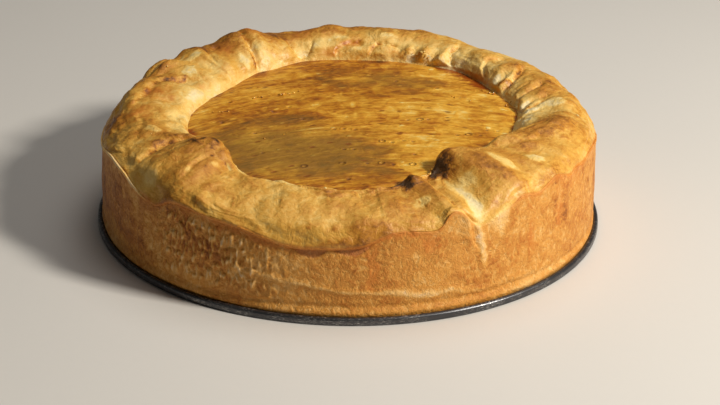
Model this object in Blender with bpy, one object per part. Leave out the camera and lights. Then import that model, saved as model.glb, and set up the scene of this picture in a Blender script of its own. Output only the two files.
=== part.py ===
"""Pizza rustica: a deep, round savoury pie on the base disc of its springform tin.

The dough stands up as a straight wall, where the tin shaped it, and its spare height is folded inwards
over the lid in uneven pleats. Sizes are in millimetres here and become metres in the meshes. An angle
goes round the pie from its right-hand side, anticlockwise seen from above, so 270 degrees is the front.
"""

import math

import bpy
import numpy as np

MM = 0.001

# Tin base: a pressed disc with a rolled edge, from a 24 cm springform tin.
TIN_RADIUS = 123.8
TIN_EDGE_WIDTH = 2.8
TIN_EDGE_HEIGHT = 3.6
TIN_FLOOR = 1.2
TIN_FOOT_ROUND = 0.7

# Dough wall, pressed flat by the tin up to the crease where the fold begins.
GAP = 0.3
DOUGH_BOTTOM = TIN_FLOOR + GAP
FOOT_RADIUS = 120.5
WALL_RADIUS = 121.0
WALL_TOP_RADIUS = 119.7
WALL_TAPER_FROM = 20.0
WALL_TAPER_TO = 50.0
FOOT_LIP = 0.5
FOOT_LIP_HEIGHT = 5.0
FOOT_GROOVE = 0.5
FOOT_GROOVE_HEIGHT = 8.0
FOOT_WIDTH = 1.3
MOST_TAPER = 1.1

# Lid: a thin round of pastry, tucked under the folded edge.
LID_TOP = 50.0
LID_THICKNESS = 3.0
LID_TUCK = 2.4
LID_DOME = 0.6
LID_DOME_FROM = 0.9
LID_DOME_TO = 0.2
SEAT_CLEARANCE = 0.6

# Height of the crease round the pie: (angle, height).
CREASE = (
    (0, 46), (12, 45), (30, 45), (60, 44), (90, 44.5), (120, 45), (150, 43), (175, 41.5), (192, 44),
    (203, 47.5), (211, 45.6), (217, 41.6), (223.5, 39.4), (226.5, 42), (229, 44.6), (233.7, 44.9),
    (239, 43.4), (246.6, 41.5), (251, 39.4), (254.7, 37.5), (258.6, 36), (267.7, 36.5), (273.4, 37.5),
    (278.3, 42), (281.5, 43.5), (288.6, 42.5), (290.4, 44.5), (291.9, 49.3), (293.8, 50.4),
    (295.5, 48.5), (297.6, 43), (300, 41), (304, 43.5), (308.4, 47), (311.3, 49.7), (316, 48.2),
    (320.5, 50.9), (323, 52), (329, 47.9), (331, 49.4), (336.6, 49), (342.8, 50), (350, 48.5),
)

# Crest of the folded edge: (angle, height, radius).
CREST = (
    (0, 57, 105), (14, 57, 104), (26, 58, 103), (37, 59, 104), (50, 57, 104), (58, 58.5, 104),
    (71, 59.5, 104), (82, 60, 104), (92, 58.5, 104), (96, 59, 104), (104, 58, 104), (112, 58, 104),
    (118, 60, 104), (122, 63.5, 103), (126, 62.5, 103), (133, 57, 104), (137, 56.5, 104),
    (141, 59.5, 104), (147, 58, 104), (152, 59.5, 104), (159, 56, 104), (165, 57, 104), (175, 56, 104),
    (186, 55, 104), (195, 54, 101), (205, 53.5, 95), (215, 57.5, 88), (220, 58.5, 87), (225, 58, 87),
    (229, 56.5, 87), (232, 54, 89), (240, 51, 93), (246, 51, 94), (250, 51.5, 94), (258, 51, 94),
    (265, 50.5, 95), (271, 51, 95), (278, 50.5, 94), (285, 49.5, 91), (287.5, 49.5, 89),
    (289.5, 50, 88), (292, 50, 87), (294, 50, 86), (297, 51, 85), (300, 51.5, 83), (303, 54, 81),
    (308, 58, 82), (315, 59, 85), (322, 57.5, 88), (330, 59.5, 92), (340, 59, 98), (350, 58, 102),
)

# Radius where the folded edge comes down on the lid: (angle, radius).
OPENING = (
    (9.5, 83), (22, 81.5), (33.5, 82.5), (43, 85.5), (50, 87), (57, 86.5), (65, 84.5), (74, 84),
    (83, 83), (92, 82.5), (99.5, 83), (109, 82.5), (119, 78), (128, 77.5), (134, 74.5), (142, 72),
    (151, 71), (163, 72.5), (175, 75.5), (184, 77), (193, 78.5), (205, 78), (215, 78), (225, 79),
    (232, 83), (240, 85.5), (250, 86.5), (258, 88.5), (271, 88.5), (282, 88), (288, 85), (292, 82),
    (300, 80), (310, 79), (345, 79), (355.5, 79.5),
)

# Places of the fold's shoulder and of its brow, the inner lip above the lid, between the stations above.
SHOULDER_RISE = 0.66
BROW_REACH = 0.62
BROW_RISE = 0.62
CURL_RISE = 0.2
FOLD_SINK = 1.0

# How far the shoulder leans in, as a share of the way from the crease to the crest: (angle, share).
SHOULDER = ((0, 0.36), (30, 0.34), (60, 0.26), (120, 0.26), (150, 0.34), (180, 0.38), (205, 0.34),
            (230, 0.20), (300, 0.18), (325, 0.24), (345, 0.34))

# How far the inner lip hangs out over the lid: (angle, reach).
CURL = (
    (0, 1.5), (20, 1), (60, 1), (120, 1.5), (200, 1), (220, 0.5), (270, 1), (283, 1.5), (290, 2.5),
    (293, 2.5), (298, 2), (303, 5.5), (306, 6.5), (315, 4), (330, 1.5),
)

# Step at the crease: above zero the wall's edge stands proud of the fold, below zero the fold overhangs.
CREASE_STEP = (
    (0, 0.2), (90, 0.2), (180, 0.4), (205, 0.7), (214, 0.6), (222, 0.2), (228, 0), (240, -0.1),
    (254, -0.3), (262, -0.6), (272, -0.6), (278, 0), (290, 0.2), (296, 0.3), (300, 0), (305, 0),
    (311, 0.2), (345, 0.3),
)
CREASE_WIDTH = 2.5
OVERHANG_WIDTH = 6.0

# Pleats, where one fold of dough lies on the next. Each has its route from start to end as
# (angle, share of the fold from the crease to the lid), the side that is lifted, as seen when
# following the route (1 left, -1 right), the lift at its start and at its end, how far the lifted
# fold reaches before it blends in, and the depth and width of the gap beside it.
PLEATS = (
    ("left_front_flap", ((212, 0.05), (211, 0.28), (208, 0.42), (209, 0.56), (213, 0.80)),
     -1, 2.0, 4.6, 13, 1.0, 2.2),
    ("left_front_tuck", ((228, 0.22), (226.5, 0.42), (229, 0.48), (236, 0.50)),
     -1, 1.2, 2.2, 8, 1.0, 1.2),
    ("left_shoulder", ((184, 0.48), (174, 0.54), (167, 0.55), (161, 0.62), (155, 0.74)),
     -1, 1.6, 2.8, 10, 1.4, 1.8),
    ("left_flake_low", ((165, 0.36), (154, 0.47), (146, 0.56)),
     1, 1.0, 1.2, 5, 0.8, 1.2),
    ("left_flake_high", ((158, 0.42), (149, 0.50), (141, 0.60)),
     1, 1.0, 1.2, 5, 0.7, 1.1),
    ("left_back_flap", ((144.5, 0.72), (141, 0.61), (137, 0.55), (131, 0.52)),
     -1, 1.6, 1.8, 9, 1.0, 1.5),
    ("back_left_split", ((124, 0.44), (125.5, 0.60), (127, 0.80), (128, 0.98)),
     1, 2.2, 4.6, 12, 2.4, 2.0),
    ("back_notch_left", ((112, 0.62), (110, 0.80), (107, 0.95)),
     1, 1.2, 2.0, 6, 1.3, 1.5),
    ("back_notch_right", ((102, 0.66), (104, 0.82), (107, 0.95)),
     -1, 1.2, 1.8, 6, 1.1, 1.5),
    ("back_small_flap", ((96.5, 0.95), (94, 0.80), (89, 0.73), (84.5, 0.80)),
     -1, 2.0, 2.0, 5, 1.1, 1.5),
    ("back_flap", ((84.5, 0.97), (83, 0.86), (81.5, 0.78), (77, 0.74), (72, 0.80)),
     -1, 2.6, 2.0, 7, 1.5, 1.5),
    ("back_right_fold", ((54.5, 0.95), (55.5, 0.80), (56.5, 0.70), (55.5, 0.56)),
     -1, 3.2, 1.8, 11, 2.2, 2.0),
    ("right_back_fold", ((34.5, 0.92), (39, 0.82), (41.5, 0.68), (39, 0.50)),
     -1, 2.0, 1.6, 8, 1.2, 1.7),
    ("right_back_split", ((24, 0.94), (25.5, 0.76), (28, 0.62), (31, 0.50)),
     -1, 3.6, 2.4, 11, 3.0, 2.3),
    ("right_tear", ((9, 0.98), (12, 0.84), (14, 0.66), (18, 0.50)),
     1, 3.0, 1.8, 9, 3.0, 2.6),
    ("right_slit_back", ((7, 0.86), (8, 0.70), (9, 0.56)),
     -1, 1.2, 0.9, 4, 1.6, 1.3),
    ("right_slit_front", ((1, 0.88), (4, 0.74), (6, 0.60)),
     -1, 1.2, 0.9, 4, 1.7, 1.4),
    ("right_wrinkle", ((322, 0.66), (325, 0.55), (329, 0.46), (334, 0.44), (339, 0.50)),
     -1, 1.0, 1.0, 7, 0.8, 1.5),
    ("front_right_pleat",
     ((299.5, -0.36), (298, -0.14), (296.5, 0.06), (294.5, 0.24), (294.5, 0.45), (296, 0.70)),
     -1, 0.7, 5.6, 12, 1.2, 1.9),
    ("front_ear", ((285.5, 0.86), (286, 0.66), (288.5, 0.50), (292, 0.44)),
     -1, 1.8, 0.8, 6, 0.7, 1.5),
    ("front_torn_edge", ((256, 0.62), (260, 0.54), (264, 0.52), (269, 0.54)),
     -1, 0.9, 0.9, 5, 0.7, 1.2),
)

# Swellings, and dents where the height is below zero: (angle, share of the fold, height, half length
# round the pie, half width across the fold).
SWELLINGS = (
    (119, 0.6, 2.4, 12, 12), (133.5, 0.72, 1.6, 7, 11), (140, 0.66, 1.2, 8, 9), (150, 0.82, 1.4, 12, 8),
    (172, 0.72, 2.2, 15, 12), (190, 0.62, 1.6, 13, 10), (192, 0.9, 1.4, 6, 6),
    (177, 0.7, -1.6, 2.4, 3.5), (186, 0.8, -1, 6, 2.4), (196, 0.58, 0.9, 5, 4),
    (221, 0.62, 1.6, 12, 10), (244, 0.52, 0.6, 14, 12), (252, 0.46, 0.7, 10, 9),
    (262, 0.26, 1.2, 13, 10), (274, 0.28, 1.4, 13, 10), (284, 0.3, 1.2, 9, 9),
    (290, 0.3, 1.6, 5.5, 4.5), (289, 0.52, 2, 5, 6), (309, 0.46, 2.2, 14, 12), (322, 0.24, 1.2, 14, 8),
    (331, 0.2, 1.4, 10, 8), (343, 0.44, 1.6, 12, 12), (352, 0.3, 1.2, 12, 10), (3, 0.5, 1.8, 8, 7),
    (347, 0.46, 1.4, 8, 6), (6, 0.3, 1.2, 14, 8), (20, 0.6, 2.4, 9, 11), (33, 0.72, 2, 8, 10),
    (46, 0.7, 1.8, 11, 11), (29, 0.74, -2.4, 2.6, 5), (57.5, 0.84, 2.6, 3.6, 4.5),
    (64, 0.84, 3, 3.8, 5), (70, 0.82, 2.8, 3.2, 5), (66, 0.5, 1.2, 14, 10), (79, 0.86, 2, 9, 7),
    (90, 0.88, 1.8, 7, 6), (100, 0.56, 1.6, 12, 11), (107, 0.88, -1.6, 3.4, 5), (113, 0.84, 1.6, 6, 6),
    (86, 0.4, 1, 16, 9), (97, 0.34, 1.2, 12, 8), (155, 0.3, 0.9, 12, 8), (136, 0.36, 1, 12, 8),
    (278, 0.62, 0.9, 9, 6), (297, 0.02, 0.8, 3, 9), (330, 0.74, 1.6, 9, 9), (228, 0.3, 1, 10, 8),
    (238, 0.2, 0.8, 10, 8),
)

# Distances over the surface, for the relief above: wall height and length across the fold.
WALL_LENGTH = 42.0
FOLD_LENGTH = 52.0
PLEAT_SAMPLES = 24
PLEAT_WINDOW = 16
PLEAT_FADE = 0.18
PLEAT_EDGE = 0.5
PLEAT_LIP = 0.3
PLEAT_LIP_WIDTH = 3.0

# Shares of the wall and of the fold over which the relief fades out at the foot and at the lid.
FOOT_FADE = 0.06
LID_FADE = 0.10

# Low uneven waves of hand-rolled dough: count round the pie, count across, height, turn.
DOUGH_WAVES = ((9, 1, 0.30, 0.4), (17, -2, 0.26, 1.9), (29, 3, 0.15, 3.1), (46, -4, 0.09, 5.0))
WAVES_FROM = 0.9
WAVES_TO = 1.2

# Fineness of the crust before and after it is thinned.
FINE_COLUMNS = 420
WALL_ROWS = 26
FOLD_ROWS = 84
CRUST_TRIANGLES = 9000
LID_COLUMNS = 96
LID_RINGS = 5
TIN_COLUMNS = 72
TIN_EDGE_STEPS = 9


def around(stations, angle):
    """Values at any angle from a closed, smooth curve through the stations (cubic Hermite pieces)."""
    table = np.array(stations, float)
    at = np.concatenate([table[:, 0] - 360, table[:, 0], table[:, 0] + 360])
    value = np.tile(table[:, 1:], (3, 1))
    slope = np.zeros_like(value)
    slope[1:-1] = (value[2:] - value[:-2]) / (at[2:] - at[:-2])[:, None]
    angle = np.asarray(angle, float) % 360
    k = np.searchsorted(at, angle, side="right") - 1
    step = (at[k + 1] - at[k])[:, None]
    t = (angle - at[k])[:, None] / step
    return (
        (2 * t**3 - 3 * t**2 + 1) * value[k]
        + (t**3 - 2 * t**2 + t) * step * slope[k]
        + (3 * t**2 - 2 * t**3) * value[k + 1]
        + (t**3 - t**2) * step * slope[k + 1]
    )


def through(points, place):
    """A smooth curve through columns of points, read at places from 0 to the last column."""
    slope = np.empty_like(points)
    slope[:, 1:-1] = (points[:, 2:] - points[:, :-2]) / 2
    slope[:, 0] = points[:, 1] - points[:, 0]
    slope[:, -1] = points[:, -1] - points[:, -2]
    k = np.clip(np.floor(place).astype(int), 0, points.shape[1] - 2)
    t = (place - k)[None]
    return (
        (2 * t**3 - 3 * t**2 + 1) * points[:, k]
        + (t**3 - 2 * t**2 + t) * slope[:, k]
        + (3 * t**2 - 2 * t**3) * points[:, k + 1]
        + (t**3 - t**2) * slope[:, k + 1]
    )


def bump(distance, width):
    """A smooth bell, 1 at distance 0 and near 0 past the width."""
    return np.exp(-((distance / width) ** 2))


def wall_radius(height):
    """Upright wall that draws in a little towards its top, with a foot lip and a groove above it."""
    taper = np.clip((height - WALL_TAPER_FROM) / (WALL_TAPER_TO - WALL_TAPER_FROM), 0, MOST_TAPER)
    foot = np.clip((height - DOUGH_BOTTOM) / (TIN_EDGE_HEIGHT - DOUGH_BOTTOM), 0, 1)
    return (
        FOOT_RADIUS + (WALL_RADIUS - FOOT_RADIUS) * foot
        + (WALL_TOP_RADIUS - WALL_RADIUS) * taper
        + FOOT_LIP * bump(height - FOOT_LIP_HEIGHT, FOOT_WIDTH)
        - FOOT_GROOVE * bump(height - FOOT_GROOVE_HEIGHT, FOOT_WIDTH)
    )


def plain_profile(angle, share):
    """Radius and height of the dough before its relief. Share runs 0 to 1 up the wall to the crease,
    then 1 to 2 over the fold through the shoulder, crest and inner lip down to the lid."""
    crease = around(CREASE, angle)[:, 0]
    crest, crest_radius = around(CREST, angle).T
    opening = around(OPENING, angle)[:, 0]
    lean = around(SHOULDER, angle)[:, 0]
    curl = around(CURL, angle)[:, 0]
    height = DOUGH_BOTTOM + (crease - DOUGH_BOTTOM)[:, None] * np.clip(share, 0, 1)[None]
    rim = wall_radius(crease)
    over_lid = crest - LID_TOP
    stations_r = np.stack([
        rim,
        rim - lean * (rim - crest_radius),
        crest_radius,
        crest_radius - BROW_REACH * (crest_radius - opening) - curl,
        opening,
    ], 1)
    stations_z = np.stack([
        crease,
        crease + SHOULDER_RISE * (crest - crease),
        crest,
        LID_TOP + BROW_RISE * over_lid + CURL_RISE * curl,
        np.full_like(crest, LID_TOP - FOLD_SINK),
    ], 1)
    place = np.clip(share - 1, 0, 1) * (stations_r.shape[1] - 1)
    folded = (share > 1)[None]
    radius = np.where(folded, through(stations_r, place), wall_radius(height))
    return radius, np.where(folded, through(stations_z, place), height)


def travel(share):
    """Distance over the surface up from the foot."""
    return np.where(share < 1, share * WALL_LENGTH, WALL_LENGTH + (share - 1) * FOLD_LENGTH)


def turn_between(angle, other):
    """Signed turn from one angle to another, by the short way."""
    return (other - angle + 180) % 360 - 180


def at_nearest(values, nearest):
    """The value at each point's nearest piece of a route."""
    return np.take_along_axis(values, nearest, 2)[..., 0]


def pleat_height(angle, share, radius, route, side, lift_start, lift_end, reach, gap_depth, gap_width):
    """A step along a route: the lifted side rises from the gap and blends in over its reach. The lift
    goes evenly from its start to its end, and both fade out at the two ends of the route. Distances to
    the route are measured over the surface, to the nearest of its short straight pieces."""
    points = np.array(route, float)
    places = np.linspace(0, len(points) - 1, PLEAT_SAMPLES)
    along_angle = through(points[None, :, 0], places)[0]
    along_travel = travel(1 + through(points[None, :, 1], places)[0])
    half_turn = np.ptp(points[:, 0]) / 2
    near = np.abs(turn_between(angle, points[:, 0].mean())) < half_turn + PLEAT_WINDOW
    result = np.zeros_like(radius)
    if not near.any():
        return result
    round_by = np.radians(turn_between(angle[near][:, None, None], along_angle)) * radius[near][..., None]
    across_by = along_travel - travel(share)[None, :, None] + np.zeros_like(round_by)
    start_u, start_v = round_by[..., :-1], across_by[..., :-1]
    step_u, step_v = np.diff(round_by, axis=2), np.diff(across_by, axis=2)
    along = np.clip(-(start_u * step_u + start_v * step_v) / (step_u**2 + step_v**2 + 1e-9), 0, 1)
    off_u, off_v = start_u + along * step_u, start_v + along * step_v
    distance = np.hypot(off_u, off_v)
    nearest = distance.argmin(2)[..., None]
    handed = np.sign(at_nearest(off_u * step_v - off_v * step_u, nearest))
    signed = -side * handed * at_nearest(distance, nearest)
    place = (at_nearest(along, nearest) + nearest[..., 0]) / (PLEAT_SAMPLES - 1)
    fade = np.clip(place / PLEAT_FADE, 0, 1) * np.clip((1 - place) / PLEAT_FADE, 0, 1)
    fade = fade * fade * (3 - 2 * fade)
    lift = lift_start + (lift_end - lift_start) * place
    lifted = 1 / (1 + np.exp(-signed / PLEAT_EDGE))
    away = np.abs(signed)
    rounded = 1 - (1 - PLEAT_LIP) * np.exp(-away / PLEAT_LIP_WIDTH)
    rise = lift * rounded * np.exp(-away / reach)
    gap = -gap_depth * bump(signed, gap_width)
    result[near] = fade * (lifted * rise + (1 - lifted) * gap)
    return result


def relief(angle, share, radius):
    """All relief, as a distance along the surface's normal."""
    height = np.zeros_like(radius)
    for _name, *pleat in PLEATS:
        height += pleat_height(angle, share, radius, *pleat)
    for centre, at, rise, length, width in SWELLINGS:
        round_by = np.radians(turn_between(angle, centre))[:, None] * radius
        across_by = (travel(np.float64(1 + at)) - travel(share))[None]
        height += rise * np.exp(-((round_by / length) ** 2 + (across_by / width) ** 2))
    turn = np.radians(angle)[:, None]
    up = (travel(share) / (WALL_LENGTH + FOLD_LENGTH) * 2 * math.pi)[None]
    grown = np.clip((share - WAVES_FROM) / (WAVES_TO - WAVES_FROM), 0, 1)[None]
    for rounds, across, rise, shift in DOUGH_WAVES:
        height += rise * np.sin(rounds * turn + across * up + shift) * grown
    step = around(CREASE_STEP, angle)[:, :1]
    above = travel(share)[None] - WALL_LENGTH
    proud = np.maximum(step, 0) * bump(above, CREASE_WIDTH)
    under = np.minimum(step, 0) * bump(above, OVERHANG_WIDTH)
    return height + np.where(above < 0, proud + under, -proud)


def dough_surface(angle, share):
    """Points of the dough's outer surface: the plain profile moved along its normals by the relief."""
    radius, height = plain_profile(angle, share)
    turn = np.radians(angle)[:, None]
    plain = np.stack([radius * np.cos(turn), radius * np.sin(turn), height], 2)
    round_the_pie = np.stack([-np.sin(turn), np.cos(turn), np.zeros_like(turn)], 2)
    up_the_profile = np.gradient(plain, axis=1)
    normal = np.cross(round_the_pie + np.zeros_like(plain), up_the_profile)
    normal /= np.linalg.norm(normal, axis=2, keepdims=True)
    kept = np.clip(share / FOOT_FADE, 0, 1) * np.clip((2 - share) / LID_FADE, 0, 1)
    return plain + normal * (relief(angle, share, radius) * kept[None])[..., None]


def shell(rings, bottom, top):
    """Vertices and faces of a closed shape: rings of points from the bottom to the top, and two poles."""
    columns, count = rings.shape[0], rings.shape[1]
    points = np.concatenate([rings.transpose(1, 0, 2).reshape(-1, 3), [bottom, top]])
    here = np.arange(columns)
    after = (here + 1) % columns
    faces = []
    for row in range(count - 1):
        low, high = row * columns, (row + 1) * columns
        faces += np.stack([low + here, low + after, high + after, high + here], 1).tolist()
    last = (count - 1) * columns
    faces += np.stack([after, here, np.full(columns, count * columns)], 1).tolist()
    faces += np.stack([last + here, last + after, np.full(columns, count * columns + 1)], 1).tolist()
    return points * MM, faces


def make_object(name, points, faces, colour, roughness, metallic=0.0):
    mesh = bpy.data.meshes.new(name)
    mesh.from_pydata(points.tolist(), [], faces)
    mesh.shade_smooth()
    made = bpy.data.objects.new(name, mesh)
    bpy.context.collection.objects.link(made)
    material = bpy.data.materials.new(name)
    material.use_nodes = True
    shader = material.node_tree.nodes["Principled BSDF"]
    shader.inputs["Base Color"].default_value = (*colour, 1)
    shader.inputs["Roughness"].default_value = roughness
    shader.inputs["Metallic"].default_value = metallic
    mesh.materials.append(material)
    return made


def ring(angle, radius, height):
    """One ring of points at a radius and a height, either of which may vary round the pie."""
    turn = np.radians(angle)
    return np.stack([radius * np.cos(turn), radius * np.sin(turn), height + 0 * turn], 1)


def make_tin_base():
    """Turned outline: flat underside, rounded foot, rolled edge, and the floor inside it."""
    angle = np.arange(TIN_COLUMNS) * 360 / TIN_COLUMNS
    inner = TIN_RADIUS - TIN_EDGE_WIDTH
    middle = TIN_RADIUS - TIN_EDGE_WIDTH / 2
    half_width = TIN_EDGE_WIDTH / 2
    outline = [(TIN_RADIUS - TIN_FOOT_ROUND, 0.0), (TIN_RADIUS, TIN_FOOT_ROUND)]
    for part in np.radians(np.linspace(0, 180, TIN_EDGE_STEPS)):
        outline.append((
            middle + half_width * math.cos(part),
            TIN_EDGE_HEIGHT - half_width + half_width * math.sin(part),
        ))
    outline[-1] = (inner, TIN_FLOOR)
    rings = np.stack([ring(angle, radius, height) for radius, height in outline], 1)
    points, faces = shell(rings, (0, 0, 0), (0, 0, TIN_FLOOR))
    return make_object("tin_base", points, faces, (0.045, 0.045, 0.05), 0.35, 0.8)


def make_lid_seat():
    """Cutter for the slot that the lid lies in. It reaches under the folded edge."""
    angle = np.arange(LID_COLUMNS) * 360 / LID_COLUMNS
    reach = around(OPENING, angle)[:, 0] + LID_TUCK + SEAT_CLEARANCE
    low, high = LID_TOP - LID_THICKNESS - GAP, LID_TOP + GAP
    rings = np.stack([ring(angle, reach, low), ring(angle, reach, high)], 1)
    points, faces = shell(rings, (0, 0, low), (0, 0, high))
    seat = make_object("lid_seat", points, faces, (1, 1, 1), 0.5)
    seat.hide_render = True
    seat.display_type = "WIRE"
    return seat


def make_crust(seat):
    """Wall, folded edge and body of the pie, thinned to its triangle budget and slotted for the lid."""
    angle = np.arange(FINE_COLUMNS) * 360 / FINE_COLUMNS
    share = np.concatenate([
        np.linspace(0, 1, WALL_ROWS, endpoint=False),
        1 + np.linspace(0, 1, FOLD_ROWS),
    ])
    rings = dough_surface(angle, share)
    points, faces = shell(rings, (0, 0, DOUGH_BOTTOM), (0, 0, LID_TOP - FOLD_SINK))
    crust = make_object("crust", points, faces, (0.55, 0.27, 0.08), 0.6)
    triangles = 2 * FINE_COLUMNS * len(share)
    thin = crust.modifiers.new("thin", "DECIMATE")
    thin.ratio = CRUST_TRIANGLES / triangles
    cut = crust.modifiers.new("seat", "BOOLEAN")
    cut.object = seat
    cut.operation = "DIFFERENCE"
    cut.solver = "EXACT"
    return crust


def make_lid():
    """A thin round of pastry with a faint dome."""
    angle = np.arange(LID_COLUMNS) * 360 / LID_COLUMNS
    edge = around(OPENING, angle)[:, 0] + LID_TUCK
    bottom = LID_TOP - LID_THICKNESS
    rings = [ring(angle, edge, bottom), ring(angle, edge, LID_TOP)]
    for part in np.linspace(LID_DOME_FROM, LID_DOME_TO, LID_RINGS):
        rings.append(ring(angle, edge * part, LID_TOP + LID_DOME * (LID_DOME_FROM**2 - part**2)))
    top = LID_TOP + LID_DOME * LID_DOME_FROM**2
    points, faces = shell(np.stack(rings, 1), (0, 0, bottom), (0, 0, top))
    return make_object("lid", points, faces, (0.60, 0.32, 0.08), 0.3)


def main():
    for old in list(bpy.data.objects):
        bpy.data.objects.remove(old)
    make_tin_base()
    make_crust(make_lid_seat())
    make_lid()


main()
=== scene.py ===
"""Looks of a pizza rustica: a deep round savoury pie, folded and pleated at its edge, on its tin's base.

The dough's surface is a function of two parameters: the angle round the pie, from its right-hand side
anticlockwise seen from above, and a share that runs 0 to 1 up the wall to the crease and 1 to 2 over the
fold to the lid. Sizes are in millimetres and angles in degrees where a comment says nothing else, and the
meshes are made in metres.
"""

import math

import bpy
import numpy as np
from mathutils import Matrix, Vector


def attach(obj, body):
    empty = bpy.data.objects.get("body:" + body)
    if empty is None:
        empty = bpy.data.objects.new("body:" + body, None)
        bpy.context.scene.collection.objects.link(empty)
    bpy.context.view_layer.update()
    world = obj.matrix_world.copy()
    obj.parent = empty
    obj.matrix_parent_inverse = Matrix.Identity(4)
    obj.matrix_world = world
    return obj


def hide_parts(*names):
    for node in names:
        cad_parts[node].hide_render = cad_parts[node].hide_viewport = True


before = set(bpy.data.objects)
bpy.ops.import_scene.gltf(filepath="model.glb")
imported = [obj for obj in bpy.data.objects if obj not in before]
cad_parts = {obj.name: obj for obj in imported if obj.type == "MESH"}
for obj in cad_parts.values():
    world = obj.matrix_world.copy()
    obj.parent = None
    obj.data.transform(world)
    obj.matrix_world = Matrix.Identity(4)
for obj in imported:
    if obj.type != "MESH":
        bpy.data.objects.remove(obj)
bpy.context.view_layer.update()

bl_info = {
    "name": "Pizza rustica",
    "version": (1, 0, 0),
    "blender": (4, 5, 0),
    "location": "3D View > Sidebar > Pie",
    "description": "Dresses the solids of a deep folded pie as baked dough, egg wash and tin",
    "category": "Add Mesh",
}

BODY = "root"
MM = 0.001

# The tin's base, as the solids have it, and how far out of round its edge is: (waves round it, height).
TIN_RADIUS = 123.8
TIN_EDGE_WIDTH = 2.8
TIN_EDGE_HEIGHT = 3.6
TIN_FLOOR = 1.2
TIN_FOOT_ROUND = 0.7
TIN_WOBBLE = ((3, 0.06), (11, 0.03))

# The dough's wall, as the solids have it.
DOUGH_BOTTOM = 1.5
FOOT_RADIUS = 120.5
WALL_RADIUS = 121.0
WALL_TOP_RADIUS = 119.7
WALL_TAPER_FROM = 20.0
WALL_TAPER_TO = 50.0
MOST_TAPER = 1.1
FOOT_LIP = 0.5
FOOT_LIP_HEIGHT = 5.0
FOOT_GROOVE = 0.5
FOOT_GROOVE_HEIGHT = 8.0
FOOT_WIDTH = 1.3

# The lid, as the solids have it.
LID_TOP = 50.0
LID_THICKNESS = 3.0
LID_TUCK = 2.4
LID_DOME = 0.6
LID_DOME_FROM = 0.9

# Height of the crease round the pie: (angle, height).
CREASE = (
    (0, 46), (12, 45), (30, 45), (60, 44), (90, 44.5), (120, 45), (150, 43), (175, 41.5), (192, 44),
    (203, 47.5), (211, 45.6), (217, 41.6), (223.5, 39.4), (226.5, 42), (229, 44.6), (233.7, 44.9),
    (239, 43.4), (246.6, 41.5), (251, 39.4), (254.7, 37.5), (258.6, 36), (267.7, 36.5), (273.4, 37.5),
    (278.3, 42), (281.5, 43.5), (288.6, 42.5), (290.4, 44.5), (291.9, 49.3), (293.8, 50.4),
    (295.5, 48.5), (297.6, 43), (300, 41), (304, 43.5), (308.4, 47), (311.3, 49.7), (316, 48.2),
    (320.5, 50.9), (323, 52), (329, 47.9), (331, 49.4), (336.6, 49), (342.8, 50), (350, 48.5),
)

# Crest of the folded edge: (angle, height, radius).
CREST = (
    (0, 57, 105), (14, 57, 104), (26, 58, 103), (37, 59, 104), (50, 57, 104), (58, 58.5, 104),
    (71, 59.5, 104), (82, 60, 104), (92, 58.5, 104), (96, 59, 104), (104, 58, 104), (112, 58, 104),
    (118, 60, 104), (122, 63.5, 103), (126, 62.5, 103), (133, 57, 104), (137, 56.5, 104),
    (141, 59.5, 104), (147, 58, 104), (152, 59.5, 104), (159, 56, 104), (165, 57, 104), (175, 56, 104),
    (186, 55, 104), (195, 54, 101), (205, 53.5, 95), (215, 57.5, 88), (220, 58.5, 87), (225, 58, 87),
    (229, 56.5, 87), (232, 54, 89), (240, 51, 93), (246, 51, 94), (250, 51.5, 94), (258, 51, 94),
    (265, 50.5, 95), (271, 51, 95), (278, 50.5, 94), (285, 49.5, 91), (287.5, 49.5, 89),
    (289.5, 50, 88), (292, 50, 87), (294, 50, 86), (297, 51, 85), (300, 51.5, 83), (303, 54, 81),
    (308, 58, 82), (315, 59, 85), (322, 57.5, 88), (330, 59.5, 92), (340, 59, 98), (350, 58, 102),
)

# Radius where the folded edge comes down on the lid: (angle, radius).
OPENING = (
    (9.5, 83), (22, 81.5), (33.5, 82.5), (43, 85.5), (50, 87), (57, 86.5), (65, 84.5), (74, 84),
    (83, 83), (92, 82.5), (99.5, 83), (109, 82.5), (119, 78), (128, 77.5), (134, 74.5), (142, 72),
    (151, 71), (163, 72.5), (175, 75.5), (184, 77), (193, 78.5), (205, 78), (215, 78), (225, 79),
    (232, 83), (240, 85.5), (250, 86.5), (258, 88.5), (271, 88.5), (282, 88), (288, 85), (292, 82),
    (300, 80), (310, 79), (345, 79), (355.5, 79.5),
)

# Places of the fold's shoulder and of its brow, the inner lip above the lid, between the stations above.
SHOULDER_RISE = 0.66
BROW_REACH = 0.62
BROW_RISE = 0.62
CURL_RISE = 0.2
FOLD_SINK = 1.0

# How far the shoulder leans in, as a share of the way from the crease to the crest: (angle, share).
SHOULDER = (
    (0, 0.36), (30, 0.34), (60, 0.26), (120, 0.26), (150, 0.34), (180, 0.38), (205, 0.34), (230, 0.20),
    (300, 0.18), (325, 0.24), (345, 0.34),
)

# How far the inner lip hangs out over the lid: (angle, reach).
CURL = (
    (0, 1.5), (20, 1), (60, 1), (120, 1.5), (200, 1), (220, 0.5), (270, 1), (283, 1.5), (290, 2.5),
    (293, 2.5), (298, 2), (303, 5.5), (306, 6.5), (315, 4), (330, 1.5),
)

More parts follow.
